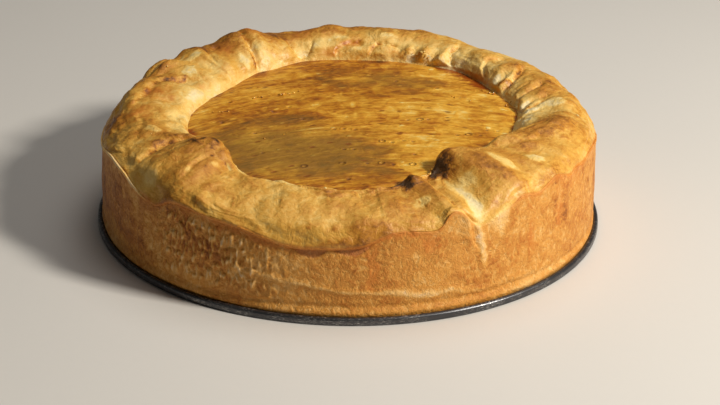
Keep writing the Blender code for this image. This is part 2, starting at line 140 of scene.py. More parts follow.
# Step at the crease, as (angle, height): above zero the wall's edge stands proud of the fold, below zero the
# fold overhangs. Then the widths of the two, the distance over which the relief's direction turns from
# outward to the fold's own, and the share by which the two surfaces stop short of the crease.
CREASE_STEP = (
    (0, 0.2), (90, 0.2), (180, 0.4), (205, 0.7), (214, 0.6), (222, 0.2), (228, 0), (240, -0.1),
    (254, -0.3), (262, -0.6), (272, -0.6), (278, 0), (290, 0.2), (296, 0.3), (300, 0), (305, 0),
    (311, 0.2), (345, 0.3),
)
CREASE_WIDTH = 2.5
OVERHANG_WIDTH = 6.0
CREASE_BLEND = 9.0
CREASE_GAP = 0.0001

# The fold's lower edge is a soft roll with a faint hollow above it: how strong they are, as (angle,
# strength), and then the roll and the hollow, as (height, distance above the crease, width).
CREASE_ROLL = (
    (0, 0.2), (90, 0.2), (180, 0.4), (208, 0.6), (226, 0.9), (240, 1.0), (262, 1.0), (280, 0.7),
    (294, 0.1), (305, 0.0), (312, 0.2), (345, 0.2),
)
ROLL_AND_HOLLOW = ((0.9, 1.5, 3.4), (-1.2, 12.0, 7.0))

# Pleats, where one fold of dough lies on the next: name, route from start to end as (angle, share of the
# fold from the crease to the lid, below zero on the wall), the side that is lifted, as seen when
# following the route (1 left, -1 right), the lift at its start and at its end, how far the lifted fold
# reaches before it blends in, and the depth and width of the gap beside it.
PLEATS = (
    ("left_front_flap", ((212, 0.05), (211, 0.28), (208, 0.42), (209, 0.56), (213, 0.80)),
     -1, 2.0, 4.6, 13, 1.0, 2.2),
    ("left_front_tuck", ((228, 0.22), (226.5, 0.42), (229, 0.48), (236, 0.50)),
     -1, 1.2, 2.2, 8, 1.0, 1.2),
    ("left_shoulder", ((184, 0.48), (174, 0.54), (167, 0.55), (161, 0.62), (155, 0.74)),
     -1, 1.6, 2.8, 10, 1.4, 1.8),
    ("left_flake_low", ((165, 0.36), (154, 0.47), (146, 0.56)),
     1, 1.0, 1.2, 5, 0.8, 1.2),
    ("left_flake_high", ((158, 0.42), (149, 0.50), (141, 0.60)),
     1, 1.0, 1.2, 5, 0.7, 1.1),
    ("left_back_flap", ((144.5, 0.72), (141, 0.61), (137, 0.55), (131, 0.52)),
     -1, 1.6, 1.8, 9, 1.0, 1.5),
    ("back_left_split", ((124, 0.44), (125.5, 0.60), (127, 0.80), (128, 0.98)),
     1, 2.2, 4.6, 12, 2.4, 2.0),
    ("back_notch_left", ((112, 0.62), (110, 0.80), (107, 0.95)),
     1, 1.2, 2.0, 6, 1.3, 1.5),
    ("back_notch_right", ((102, 0.66), (104, 0.82), (107, 0.95)),
     -1, 1.2, 1.8, 6, 1.1, 1.5),
    ("back_small_flap", ((96.5, 0.95), (94, 0.80), (89, 0.73), (84.5, 0.80)),
     -1, 2.0, 2.0, 5, 1.1, 1.5),
    ("back_flap", ((84.5, 0.97), (83, 0.86), (81.5, 0.78), (77, 0.74), (72, 0.80)),
     -1, 2.6, 2.0, 7, 1.5, 1.5),
    ("back_right_fold", ((54.5, 0.95), (55.5, 0.80), (56.5, 0.70), (55.5, 0.56)),
     -1, 3.2, 1.8, 11, 2.2, 2.0),
    ("right_back_fold", ((34.5, 0.92), (39, 0.82), (41.5, 0.68), (39, 0.50)),
     -1, 2.0, 1.6, 8, 1.2, 1.7),
    ("right_back_split", ((24, 0.94), (25.5, 0.76), (28, 0.62), (31, 0.50)),
     -1, 3.6, 2.4, 11, 3.0, 2.3),
    ("right_tear", ((9, 0.98), (12, 0.84), (14, 0.66), (18, 0.50)),
     1, 3.0, 1.8, 9, 3.0, 2.6),
    ("right_slit_back", ((7, 0.86), (8, 0.70), (9, 0.56)),
     -1, 1.2, 0.9, 4, 1.6, 1.3),
    ("right_slit_front", ((1, 0.88), (4, 0.74), (6, 0.60)),
     -1, 1.2, 0.9, 4, 1.7, 1.4),
    ("right_wrinkle", ((322, 0.66), (325, 0.55), (329, 0.46), (334, 0.44), (339, 0.50)),
     -1, 1.0, 1.0, 7, 0.8, 1.5),
    ("front_right_pleat",
     ((299.5, -0.36), (298, -0.14), (296.5, 0.06), (294.5, 0.24), (294.5, 0.45), (296, 0.70)),
     -1, 0.7, 5.6, 12, 1.2, 1.9),
    ("front_ear", ((285.5, 0.86), (286, 0.66), (288.5, 0.50), (292, 0.44)),
     -1, 1.8, 0.8, 6, 0.7, 1.5),
    ("front_torn_edge", ((256, 0.62), (260, 0.54), (264, 0.52), (269, 0.54)),
     -1, 0.9, 0.9, 5, 0.7, 1.2),
)

# Smaller folds, wrinkles and flaky layers between the pleats, in the same terms.
SMALL_FOLDS = (
    ("left_low_ridge", ((190, 0.66), (186.5, 0.75), (189, 0.82), (193, 0.87)), -1, 0.9, 0.7, 4, 0.6, 1.4),
    ("left_band_1", ((170, 0.30), (160, 0.40), (150, 0.46), (142, 0.52)), 1, 0.5, 0.6, 2.6, 0.7, 1.1),
    ("left_band_2", ((163, 0.49), (156, 0.56), (150, 0.63), (148, 0.70)), 1, 0.7, 0.6, 3, 0.9, 1.3),
    ("left_band_3", ((154, 0.36), (147, 0.43), (139, 0.47)), -1, 0.5, 0.4, 2.4, 0.5, 1.0),
    ("left_crest_line", ((179, 0.34), (170, 0.42), (163, 0.45)), 1, 0.5, 0.5, 3, 0.5, 1.2),
    ("left_side_fold", ((203, 0.30), (197, 0.42), (192, 0.50), (186, 0.52)), -1, 0.6, 0.5, 4, 0.5, 1.4),
    ("flap_crease", ((221, 0.58), (226, 0.60), (231, 0.54)), 1, 0.6, 0.5, 4, 0.5, 1.3),
    ("flap_wrinkle", ((214, 0.30), (218, 0.42), (218, 0.56)), 1, 0.4, 0.4, 3, 0.4, 1.2),
    ("back_left_line", ((136, 0.34), (131, 0.42), (126, 0.40)), 1, 0.6, 0.6, 4, 0.5, 1.4),
    ("back_peak_line", ((121, 0.52), (119, 0.66), (119, 0.82)), -1, 0.5, 0.4, 4, 0.4, 1.2),
    ("back_lump_1", ((73, 0.94), (71, 0.84), (68, 0.78)), -1, 0.9, 0.6, 3, 0.8, 1.2),
    ("back_lump_2", ((66.5, 0.96), (66, 0.86), (63.5, 0.79)), -1, 0.9, 0.6, 3, 0.9, 1.2),
    ("back_lump_3", ((61, 0.96), (60.5, 0.86), (58.5, 0.78)), -1, 0.9, 0.6, 3, 1.0, 1.2),
    ("back_crest_line", ((100, 0.40), (92, 0.47), (84, 0.46)), 1, 0.4, 0.4, 4, 0.3, 1.4),
    ("right_back_line", ((50, 0.92), (50, 0.78), (47, 0.66)), -1, 0.5, 0.4, 4, 0.4, 1.4),
    ("right_lump_line", ((22, 0.90), (22.5, 0.74), (23, 0.60)), 1, 0.8, 0.5, 3, 0.9, 1.2),
    ("tear_strand_1", ((16.5, 0.90), (18, 0.76), (19, 0.62)), 1, 0.8, 0.5, 2.4, 1.0, 1.0),
    ("tear_strand_2", ((5, 0.94), (7, 0.80), (8.5, 0.66)), -1, 0.7, 0.4, 2.4, 0.9, 1.0),
    ("right_slit_low", ((357, 0.90), (359, 0.76), (362, 0.66)), -1, 0.8, 0.5, 3, 1.0, 1.3),
    ("right_fold_line", ((351, 0.60), (346, 0.56), (340, 0.60), (336, 0.70)), 1, 0.7, 0.6, 5, 0.5, 1.4),
    ("curl_wrinkle_1", ((327, 0.34), (322, 0.42), (314, 0.47), (308, 0.49)), 1, 0.5, 0.4, 4, 0.4, 1.2),
    ("curl_wrinkle_2", ((332, 0.36), (326, 0.38), (320, 0.34)), -1, 0.4, 0.3, 3, 0.3, 1.1),
    ("curl_end_1", ((300, 0.86), (298.5, 0.72), (298, 0.58)), -1, 0.8, 0.5, 2.6, 0.8, 1.1),
    ("curl_end_2", ((304, 0.88), (302, 0.76), (301, 0.64)), -1, 0.7, 0.4, 2.6, 0.7, 1.1),
    ("ear_line", ((291, 0.72), (290, 0.58), (290.5, 0.48)), 1, 0.6, 0.4, 2.6, 0.5, 1.0),
    ("torn_bits", ((261, 0.48), (266, 0.46), (271, 0.49)), -1, 0.5, 0.5, 2.4, 0.6, 1.0),
    ("front_soft_line", ((254, 0.50), (249, 0.40), (247, 0.28)), 1, 0.4, 0.3, 5, 0.3, 1.6),
)

# Pleats whose lifted edge shows unbaked pale dough, and those whose edge has browned.
PALE_EDGES = ("front_right_pleat", "left_flake_low", "left_flake_high", "left_band_1", "left_band_2",
              "left_front_tuck", "flap_crease", "tear_strand_1", "tear_strand_2")
BROWN_EDGES = ("left_front_flap", "left_shoulder", "left_back_flap", "back_flap", "back_small_flap",
               "front_torn_edge", "torn_bits", "right_back_split")

# Swellings, and dents where the height is below zero: (angle, share of the fold, height, half length
# round the pie, half width across the fold).
SWELLINGS = (
    (119, 0.6, 2.4, 12, 12), (133.5, 0.72, 1.6, 7, 11), (140, 0.66, 1.2, 8, 9), (150, 0.82, 1.4, 12, 8),
    (172, 0.72, 2.2, 15, 12), (190, 0.62, 1.6, 13, 10), (192, 0.9, 1.4, 6, 6), (177, 0.7, -1.6, 2.4, 3.5),
    (186, 0.8, -1, 6, 2.4), (196, 0.58, 0.9, 5, 4), (221, 0.62, 1.6, 12, 10), (244, 0.52, 0.6, 14, 12),
    (252, 0.46, 0.7, 10, 9), (262, 0.26, 1.2, 13, 10), (274, 0.28, 1.4, 13, 10), (284, 0.3, 1.2, 9, 9),
    (290, 0.3, 1.6, 5.5, 4.5), (289, 0.52, 2, 5, 6), (309, 0.46, 2.2, 14, 12), (322, 0.24, 1.2, 14, 8),
    (331, 0.2, 1.4, 10, 8), (343, 0.44, 1.6, 12, 12), (352, 0.3, 1.2, 12, 10), (3, 0.5, 1.8, 8, 7),
    (347, 0.46, 1.4, 8, 6), (6, 0.3, 1.2, 14, 8), (20, 0.6, 2.4, 9, 11), (33, 0.72, 2, 8, 10),
    (46, 0.7, 1.8, 11, 11), (29, 0.74, -2.4, 2.6, 5), (57.5, 0.84, 2.6, 3.6, 4.5), (64, 0.84, 3, 3.8, 5),
    (70, 0.82, 2.8, 3.2, 5), (66, 0.5, 1.2, 14, 10), (79, 0.86, 2, 9, 7), (90, 0.88, 1.8, 7, 6),
    (100, 0.56, 1.6, 12, 11), (107, 0.88, -1.6, 3.4, 5), (113, 0.84, 1.6, 6, 6), (86, 0.4, 1, 16, 9),
    (97, 0.34, 1.2, 12, 8), (155, 0.3, 0.9, 12, 8), (136, 0.36, 1, 12, 8), (278, 0.62, 0.9, 9, 6),
    (297, 0.02, 0.8, 3, 9), (330, 0.74, 1.6, 9, 9), (228, 0.3, 1, 10, 8), (238, 0.2, 0.8, 10, 8),
)

# Smaller lumps and hollows that only the finished surface has, in the same terms.
SMALL_SWELLINGS = (
    (323, 0.31, 0.6, 4, 3), (314, 0.36, 0.4, 4, 4), (3, 0.56, 0.6, 4, 3), (45, 0.66, 1.0, 7, 7),
    (199, 0.52, 0.8, 4, 3), (163, 0.60, 0.8, 9, 3), (148, 0.64, 0.8, 7, 3), (155, 0.50, 0.6, 8, 2.5),
    (137, 0.62, 0.9, 6, 6), (113, 0.70, 0.8, 5, 7), (89, 0.64, 0.9, 8, 4), (78, 0.62, 0.7, 7, 4),
    (341, 0.52, 0.6, 9, 5), (330, 0.52, -0.6, 7, 2.5), (352, 0.44, 0.7, 9, 5), (236, 0.30, 0.6, 8, 7),
    (236, 0.16, 1.0, 4, 4), (240, 0.18, 0.6, 5, 4), (219, 0.16, 0.8, 9, 7), (299.4, -0.14, 0.6, 1.8, 5),
    (300.2, -0.30, 0.5, 1.8, 5), (300.6, -0.46, 0.35, 1.8, 5),
)

# Distances over the surface: up the wall, across the fold, and round the pie's edge.
WALL_LENGTH = 42.0
FOLD_LENGTH = 52.0
ROUND_LENGTH = 700.0

# A pleat's route is read at so many samples, and its step is worked out up to so many degrees past its
# ends. It fades out over a share of its route at each end. Its edge is a soft step, and over the lip's
# width next to it the lift begins at the lip's share of the whole. The gap's shade is painted in: a gap
# of the full depth or more is wholly dark, over a share of its width, and the edge is coloured over a
# width of its own.
PLEAT_SAMPLES = 24
PLEAT_WINDOW = 16
PLEAT_FADE = 0.18
PLEAT_EDGE = 0.5
PLEAT_LIP = 0.3
PLEAT_LIP_WIDTH = 3.0
PLEAT_FULL_GAP = 1.6
PLEAT_GAP_SHARE = 0.55
PLEAT_EDGE_WIDTH = 1.1

# Shares over which the relief fades out at the foot and at the lid.
FOOT_FADE = 0.06
LID_FADE = 0.10

# Low uneven waves of hand-rolled dough: (count round the pie, count across, height, turn). They start at
# one share and are full at the other.
DOUGH_WAVES = ((9, 1, 0.30, 0.4), (17, -2, 0.26, 1.9), (29, 3, 0.15, 3.1), (46, -4, 0.09, 5.0))
WAVES_FROM = 0.9
WAVES_TO = 1.2

# Noises in layers: (strength, cell round the pie, cell up the surface). They push the routes of the pleats
# and the edges of ragged spots about, the spots less far up than round, and make the fold's lumps and the
# tin's faint print on the wall.
PLEAT_SWAY = ((1.1, 9, 9), (0.45, 3, 3))
RAGGED_EDGE = ((1.5, 6, 5), (0.8, 2.4, 2.0))
RAGGED_UP = 0.7
BROAD_LUMPS = ((0.85, 16, 13),)
SMALL_LUMPS = ((0.50, 7.5, 6),)
TINY_LUMPS = ((0.16, 3.1, 3.1),)
TIN_PRINT = ((0.22, 24, 18), (0.15, 5.5, 6.5))

# Places that baked darker, and some where shade is painted in as darker colour: (angle, share from 0 at
# the foot to 2 at the lid, strength, half length round the pie, half width across).
BROWNED_AND_SHADED = (
    # On the fold.
    (9, 1.42, 0.4, 8, 5), (17, 1.46, 0.6, 6, 6), (25, 1.52, 0.8, 6, 5), (32, 1.60, 0.7, 6, 6),
    # On the next line, (47, 1.94) is painted shadow at the fold's foot by the lid.
    (36, 1.86, 0.5, 8, 4), (47, 1.50, 0.4, 10, 7), (47, 1.94, 0.2, 13, 4), (58, 1.54, 0.4, 8, 6),
    (72, 1.46, 0.9, 12, 5), (86, 1.46, 0.9, 12, 5), (88, 1.74, 0.8, 7, 2.5), (90, 1.90, 0.4, 8, 3),
    (96, 1.80, 0.7, 5, 2), (103, 1.46, 0.9, 10, 6), (110, 1.22, 0.4, 26, 6), (111, 1.34, 0.4, 14, 7),
    (112, 1.54, 0.7, 6, 6), (120, 1.50, 0.9, 12, 9), (133, 1.56, 0.7, 7, 6), (140, 1.30, 0.4, 14, 6),
    (140, 1.50, 0.6, 7, 6), (142, 1.26, 0.6, 20, 6), (150, 1.40, 0.6, 12, 5), (160, 1.72, 0.3, 8, 5),
    (165, 1.26, 0.8, 26, 6), (172, 1.60, 0.7, 13, 4), (176, 1.71, 0.8, 2.5, 3), (184, 1.46, 0.5, 12, 8),
    (186, 1.24, 0.7, 20, 6), (186, 1.82, 0.3, 10, 4), (193, 1.94, 0.6, 5, 3), (207, 1.40, 0.5, 4, 7),
    (209, 1.62, 0.9, 5, 5), (213, 1.78, 0.8, 5, 4), (216, 1.42, 0.3, 9, 8), (231, 1.64, 0.5, 8, 5),
    (241, 1.70, 0.5, 9, 4), (248, 1.60, 0.3, 8, 6), (258, 1.62, 0.6, 7, 3), (266, 1.50, 0.6, 8, 3),
    # On the next two lines, (285.5, 1.58) and (286, 1.70) add painted shade to the ear's browned left face,
    # and (297.5, 1.70) to (302, 1.66) are painted shade on the curl's left face.
    (275, 1.56, 0.4, 8, 3), (284, 1.58, 0.5, 5, 4), (285.5, 1.58, 1.2, 4, 5), (286, 1.70, 0.9, 4, 5),
    (297.5, 1.70, 1.1, 4, 8), (299.5, 1.56, 1.1, 5, 5), (302, 1.66, 0.8, 4, 6), (305, 1.80, 0.5, 7, 5),
    (318, 1.12, 0.7, 14, 6), (327, 1.42, 0.5, 9, 3), (334, 1.62, 0.4, 9, 7), (341, 1.40, 0.3, 10, 6),
    (345, 1.45, 0.35, 22, 12), (352, 1.62, 0.6, 7, 6), (356, 1.36, 0.4, 12, 5),
    # On the wall.
    (10, 0.60, 0.6, 22, 14), (20, 0.90, 0.4, 18, 4), (40, 0.42, 0.25, 24, 8), (60, 0.88, 0.5, 22, 5),
    (98, 0.90, 0.6, 26, 4), (120, 0.45, 0.3, 22, 9), (142, 0.86, 0.5, 20, 6), (168, 0.92, 0.5, 18, 4),
    # On the next two lines, (186, 0.60) and (206, 0.60) are painted shade on the wall's left side, and (224,
    # 0.93) is painted shade below the crease.
    (184, 0.55, 0.3, 18, 10), (186, 0.60, 0.9, 26, 15), (206, 0.60, 1.0, 26, 16), (218, 0.30, 0.7, 20, 9),
    (224, 0.93, 0.9, 9, 3), (228, 0.55, 0.5, 9, 12), (231, 0.88, 0.3, 7, 6), (236, 0.66, 0.5, 16, 11),
    (240, 0.60, 0.7, 14, 13), (250, 0.95, 0.4, 9, 2), (274.5, 0.78, 0.5, 3, 6), (276, 0.45, 0.2, 14, 7),
    (288.5, 0.88, 0.6, 3.5, 4), (302, 0.55, 0.3, 6, 8), (312, 0.93, 0.3, 10, 3), (313, 0.55, 0.7, 3, 6),
    (322, 0.71, 0.9, 3, 8), (326, 0.63, 0.7, 3, 7), (328, 0.87, 0.8, 3, 6), (337, 0.93, 0.3, 12, 3),
    (346, 0.60, 0.6, 26, 14),
)

# Places left pale, and a few where light is painted in as paler colour, in the same terms.
PALE_AND_LIT = (
    # On the fold.
    (1, 1.76, 1.0, 1.8, 6), (3, 1.55, 1.2, 4.5, 3.4), (4, 1.66, 0.7, 3, 3), (7, 1.86, 1.1, 2.2, 7),
    # On the next two lines, (38, 1.86) and (50, 1.82) are painted light on the fold's inner face at the back
    # right.
    (30, 1.82, 1.0, 3, 5), (33.5, 1.92, 0.8, 2.5, 3.5), (38, 1.86, 0.4, 6, 5), (44, 1.74, 0.4, 5, 5),
    (50, 1.40, 0.3, 12, 5), (50, 1.82, 0.6, 9, 6), (57.5, 1.90, 0.9, 2.6, 4), (62.5, 1.91, 1.1, 3.6, 4),
    (68.5, 1.89, 1.0, 3, 4), (78, 1.66, 0.7, 9, 3), (88, 1.36, 0.3, 16, 4), (88, 1.84, 0.6, 7, 4),
    (94, 1.68, 0.7, 8, 2.5), (100, 1.90, 0.5, 5, 4), (101, 1.74, 0.6, 6, 4), (107, 1.86, 0.7, 4, 5),
    (123, 1.86, 0.5, 5, 5), (132, 1.80, 0.9, 4, 7), (144.5, 1.575, 1.0, 7, 1.8), (150, 1.50, 0.7, 9, 1.0),
    (153, 1.90, 0.5, 8, 4), (154, 1.65, 0.9, 6.5, 1.9), (161, 1.57, 0.6, 8, 0.9), (166, 1.80, 0.4, 10, 4),
    (168, 1.86, 0.5, 9, 5), (180, 1.62, 0.5, 6, 4), (180, 1.88, 0.3, 10, 4), (187, 1.76, 0.5, 8, 5),
    # On the next line, (219, 1.15) is painted light on a face that the fold's shape turns away from the
    # light.
    (196, 1.24, 0.4, 8, 3), (199, 1.53, 1.2, 4.5, 3.2), (219, 1.15, 0.7, 9, 8), (228, 1.32, 0.4, 6, 1.4),
    (230.5, 1.43, 0.7, 4, 1.0), (233, 1.49, 0.7, 3, 0.9), (262, 1.64, 0.5, 7, 1.2),
    (288.6, 1.33, 1.1, 5.5, 2.2), (299.2, 1.40, 0.5, 2, 5), (299.5, 1.10, 0.5, 5, 5),
    # On the next line, (305.5, 1.30) is painted light on the curl's slope.
    (299.8, 1.24, 1.2, 3.5, 6), (303.8, 1.37, 0.5, 5, 3), (305.5, 1.30, 0.20, 9, 9),
    (308, 1.05, 0.35, 12, 5), (314.2, 1.36, 1.1, 4, 4.2), (323, 1.31, 1.1, 4, 2.8), (340, 1.80, 0.3, 8, 5),
    (344, 1.43, 0.4, 6, 4), (352, 1.77, 0.9, 2.2, 5), (357, 1.88, 0.7, 2.0, 5),
    # On the wall.
    (275, 0.07, 0.4, 40, 3), (281, 0.84, 0.4, 6, 5), (285, 0.72, 0.4, 7, 6), (286, 0.42, 0.4, 16, 9),
    (293, 0.60, 0.35, 9, 10), (299.2, 0.88, 1.0, 2.0, 6), (300.4, 0.72, 0.8, 1.7, 6),
    (301.2, 0.56, 0.5, 1.7, 6), (303, 0.92, 0.5, 4, 6), (305.5, 0.95, 0.5, 4, 6), (306, 0.78, 0.4, 4, 6),
    (312, 0.06, 0.5, 40, 4), (345, 0.06, 0.4, 30, 4),
)

# Painted shade: cavities, deep shade between folds and cast shadows, in the same terms.
DARK_SHADE = (
    (1, 1.97, 0.9, 6, 1.6), (4, 1.80, 0.7, 0.9, 6), (10, 1.97, 0.9, 4, 2), (26, 1.80, 0.9, 1.6, 7),
    (55.5, 1.80, 0.4, 1.3, 6), (107, 1.88, 0.7, 1.0, 4), (128.5, 1.82, 0.9, 1.0, 6),
    (157, 1.49, 0.5, 7, 0.7), (158, 1.655, 0.6, 7, 0.8), (164, 1.61, 0.6, 6, 0.8), (172, 1.55, 0.8, 3, 1.0),
    (179, 1.69, 0.5, 2.2, 1.6), (194, 1.98, 0.5, 4, 1.5), (209, 1.38, 0.3, 2.5, 2),
    (212, 1.47, 0.4, 4, 1.5), (217.5, 1.46, 0.5, 3, 1.5), (219.5, 1.50, 0.6, 3, 1.6),
    (221, 1.57, 0.5, 3, 1.2), (223.5, 1.56, 0.5, 2.5, 1.2), (225.5, 1.485, 0.6, 4, 0.6),
    (226, 1.01, 0.4, 5, 1.6), (266, 1.57, 0.5, 8, 0.7), (283, 1.58, 0.8, 4, 1.2), (286, 1.56, 0.7, 4, 3),
    (287.4, 1.33, 0.7, 0.9, 0.9), (287.5, 1.47, 0.7, 3, 3), (299, 1.63, 0.7, 4, 6),
    (300, 1.50, 0.6, 3.5, 5), (302.5, 1.50, 0.6, 4.5, 5), (305, 1.58, 0.5, 5, 3), (336, 1.66, 0.5, 5, 1.2),
    (340, 1.70, 0.5, 4, 1.2), (358.5, 1.82, 0.6, 0.9, 6),
)

# Places that baked a deeper orange, and a few where shadow or light is painted in, in the same terms.
RUSTY_AND_SHADED = (
    # On the fold.
    # On the next line, (38, 1.93) and (50, 1.95) are the red-brown painted shadow at the fold's foot by the
    # lid.
    (22, 1.95, 0.6, 8, 3), (38, 1.93, 1.0, 9, 4), (50, 1.95, 1.0, 10, 3), (75, 1.86, 0.4, 7, 4),
    (90, 1.76, 0.8, 7, 2.5), (97, 1.84, 0.5, 5, 3), (98, 1.90, 0.5, 9, 3), (104, 1.52, 0.7, 9, 5),
    (120, 1.52, 0.8, 9, 6), (126, 1.84, 0.4, 5, 5), (134, 1.60, 0.8, 8, 5), (143, 1.78, 0.5, 5, 4),
    (152, 1.46, 0.7, 10, 4), (160, 1.80, 0.5, 5, 4), (172, 1.62, 0.8, 12, 5), (176, 1.95, 0.6, 10, 2.5),
    # On the next line, (219, 1.18) warms a face that the fold's shape turns away from the light: painted
    # light.
    (186, 1.50, 0.7, 9, 8), (196, 1.92, 0.6, 6, 4), (219, 1.18, 0.35, 6, 8), (222, 1.82, 0.45, 7, 5),
    (226, 1.94, 0.7, 6, 3), (243, 1.66, 0.3, 8, 5), (265, 1.62, 0.3, 12, 4), (286, 1.62, 0.35, 6, 6),
    (297, 1.80, 0.3, 5, 6), (306, 1.62, 0.35, 9, 7), (322, 1.44, 0.3, 12, 5), (340, 1.60, 0.3, 12, 7),
    # On the wall.
    (233, 0.95, 0.6, 6, 2.5), (240, 0.94, 0.8, 8, 3), (249, 0.95, 0.9, 12, 3), (256, 0.96, 0.6, 7, 2.5),
    (275.5, 0.55, 0.9, 2.2, 8), (275.5, 0.82, 1.2, 3, 6), (276, 0.62, 0.5, 3, 8), (282, 0.98, 0.7, 12, 1.4),
    (283, 0.82, 0.45, 8, 5), (288, 0.88, 1.3, 4, 4.5), (292, 0.80, 0.4, 5, 6), (296.5, 0.70, 0.5, 3, 8),
    (308, 0.45, 0.25, 12, 9), (314, 0.60, 0.8, 3, 7), (315, 0.92, 0.4, 12, 4), (324, 0.68, 0.9, 3, 8),
    (330, 0.92, 0.6, 12, 5), (336, 0.55, 0.3, 9, 9), (345, 0.93, 0.5, 10, 4),
)

# How strongly the crease has browned, as (angle, strength), and that line's width. Then how pale the
# wall's upper edge is, in the same terms, how far below the crease it is palest, and the width of that.
CREASE_BROWN = (
    (0, 0.7), (60, 0.7), (120, 0.7), (180, 0.5), (200, 0.3), (215, 0.4), (224, 1.0), (233, 0.5),
    (240, 0.8), (256, 1.0), (276, 1.0), (290, 1.0), (297, 0.8), (300, 0.0), (305, 0.1), (311, 0.9),
    (325, 1.0), (332, 1.0), (345, 0.9),
)
CREASE_LINE = 1.3
LIP_PALE = (
    (0, 0.2), (120, 0.2), (170, 0.5), (185, 1.0), (214, 1.0), (221, 0.2), (235, 0.0), (340, 0.1),
)
LIP_BELOW = 0.4
LIP_LINE = 0.8

# Shallow hollows under the crease, painted purple-brown as the shade under the fold that overhangs them:
# (angle from, angle to, depth down the wall at the middle), how deep they sink and how soft their edges are.
HOLLOWS = ((258.5, 266.8, 6.0), (266.6, 276.5, 5.0))
HOLLOW_SINK = 0.5
HOLLOW_EDGE = 0.6

# A pale ridge that runs down the wall's front nearly to its foot: (angle, share, strength). Then its height
# and its width.
SEAM = (
    (241, 0.49, 0), (246, 0.51, 0.8), (252, 0.515, 1), (258, 0.51, 1), (267, 0.44, 1), (277, 0.34, 1),
    (292, 0.23, 0.9), (305, 0.21, 0.6), (325, 0.13, 0.5), (345, 0.10, 0),
)
SEAM_RISE = 0.55
SEAM_WIDTH = 1.9

# Rough upright blisters on the wall's left front: the angles over which the patch begins and ends, the
# shares over which it does so from the foot to the crease, and the size of one blister.
BLISTERS_BEGIN = (222, 230)
BLISTERS_END = (245, 262)
BLISTERS_FOOT = (0.07, 0.37)
BLISTERS_TOP = (0.86, 0.96)
BLISTER_ROUND = 1.3
BLISTER_UP = 4.2

# Brush strokes over the lid run along +X, tilted by a slope and arched by a bend for each millimetre.
STROKE_SLOPE = 0.22
STROKE_BEND = 0.003

# Layers of the lid's slow swells and of its brush furrows: (strength, cell along, cell across, seed). Their
# noise repeats after so many cells along, and the lid's middle lies at the centre cell. Between two shares
# of the way to its edge the swells fade out, and the lid sinks a little.
LID_SWELLS = ((0.45, 26, 22, 31), (0.22, 11, 8, 32), (0.08, 4, 3, 35))
LID_FURROWS = ((0.60, 45, 2.1, 33), (0.40, 26, 1.3, 34))
LID_CELLS = 200
LID_CENTRE_CELL = 50
LID_EDGE = (0.90, 0.985)
LID_EDGE_SINK = 0.25

# Fork marks in the lid: (x, y, 1 for an open ring with a pale middle or 0 for a dark dot). Then the hole's
# radius, how much longer than wide it is, and the ring's radius, width, and rise as a share of the hole's
# depth.
FORK_MARKS = (
    (52, -20.5, 0), (57.5, -20, 1), (63, -20.5, 0), (66.5, -13.5, 0), (71.5, -13.5, 0), (16, -30, 1),
    (20.5, -31, 0), (26, -29, 0), (30.5, -30, 0), (28.5, -2.5, 0), (34.5, -2, 1), (38.5, -2, 0),
    (-7, -16.5, 0), (-2.5, -15.5, 0), (3, -16, 0), (15.5, -56, 1), (21, -57.5, 0), (30, -57, 1),
    (-2, -41, 0), (2.5, -40.5, 0), (0.5, -74.5, 0), (9, -57.5, 0), (-2.5, -58, 1), (31, -46, 0),
    (23.5, 51, 0), (24, 59, 0), (10.5, 60.5, 0), (-59.5, 18, 0), (-61.5, -9, 0), (-45, -23, 0),
    (-30, 12, 0), (-37.5, 6, 0), (-22.5, -3.5, 0), (-40, -47, 0), (-20, -62, 1), (44, 42, 0),
)
PRICK_RADIUS = 0.8
PRICK_STRETCH = 1.15
PRICK_RING = 1.35
PRICK_RING_WIDTH = 0.42
PRICK_RING_RISE = 0.4

# Egg wash that ran to the lid's edge and browned there, and painted shadow of the fold along that edge:
# (angle, half angle, reach from the edge).
POOLS_AND_EDGE_SHADE = (
    (5, 8, 3), (20, 8, 3), (36, 8, 8), (47, 8, 10), (57, 5, 5), (88, 12, 2), (112, 10, 2), (150, 16, 1.6),
    (176, 9, 2.2), (196, 5, 4.5), (224, 8, 3), (262, 16, 2), (288, 6, 3), (350, 8, 3),
)

# Cream streaks where the wash missed the lid, and small painted glints: (x, y, half length, half width,
# strength).
CREAM_STREAKS_AND_GLINTS = (
    (32, 21, 24, 0.9, 0.65), (-18, -16, 11, 1.1, 0.9), (12, 55, 24, 1.2, 0.4), (44, -36, 14, 1.0, 0.5),
    (-44, -46, 16, 1.2, 0.5), (4, -24, 12, 0.9, 0.4), (60, -8, 12, 0.9, 0.4), (-6, 28, 16, 1.0, 0.4),
    # From (-4.5, 32) on the next line to (-4, 40.5) two lines down, the small spots are painted glints.
    (30, 68, 20, 1.2, 0.5), (-4.5, 32, 1.5, 6, 0.6), (1.5, 16, 2, 5, 0.8), (3, 3, 1.5, 6, 0.6),
    (7, -12, 3, 1.2, 0.7), (-36, 9, 1.6, 1.2, 1.0), (-37.5, -13.5, 1.6, 1.2, 1.0), (-56.5, -5, 2.4, 2, 0.8),
    (-13, 45, 2.2, 1.2, 0.9), (-4, 40.5, 2.6, 1.2, 0.9), (-22, -47, 3, 1.4, 0.6), (-34, -38, 5, 1.2, 0.6),
    (-64, 22, 3, 2, 0.5), (-10, -44, 2, 1.2, 0.7),
)

# Duller olive films of the wash: (x, y, half length, half width, strength).
FILMS = ((-30, -44, 48, 36, 1.3), (22, 52, 42, 15, 0.7))

# Painted light on the lid, which makes it lighter: towards the right and the front, from none to full
# between two places, round one place, in the terms of the films, and towards the left edge.
GLOW_RIGHT = (-10, 45)
GLOW_FRONT = (55, 25)
GLOW_PLACE = (-45, 34, 28, 18, 0.8)
GLOW_LEFT = (-58, -76)

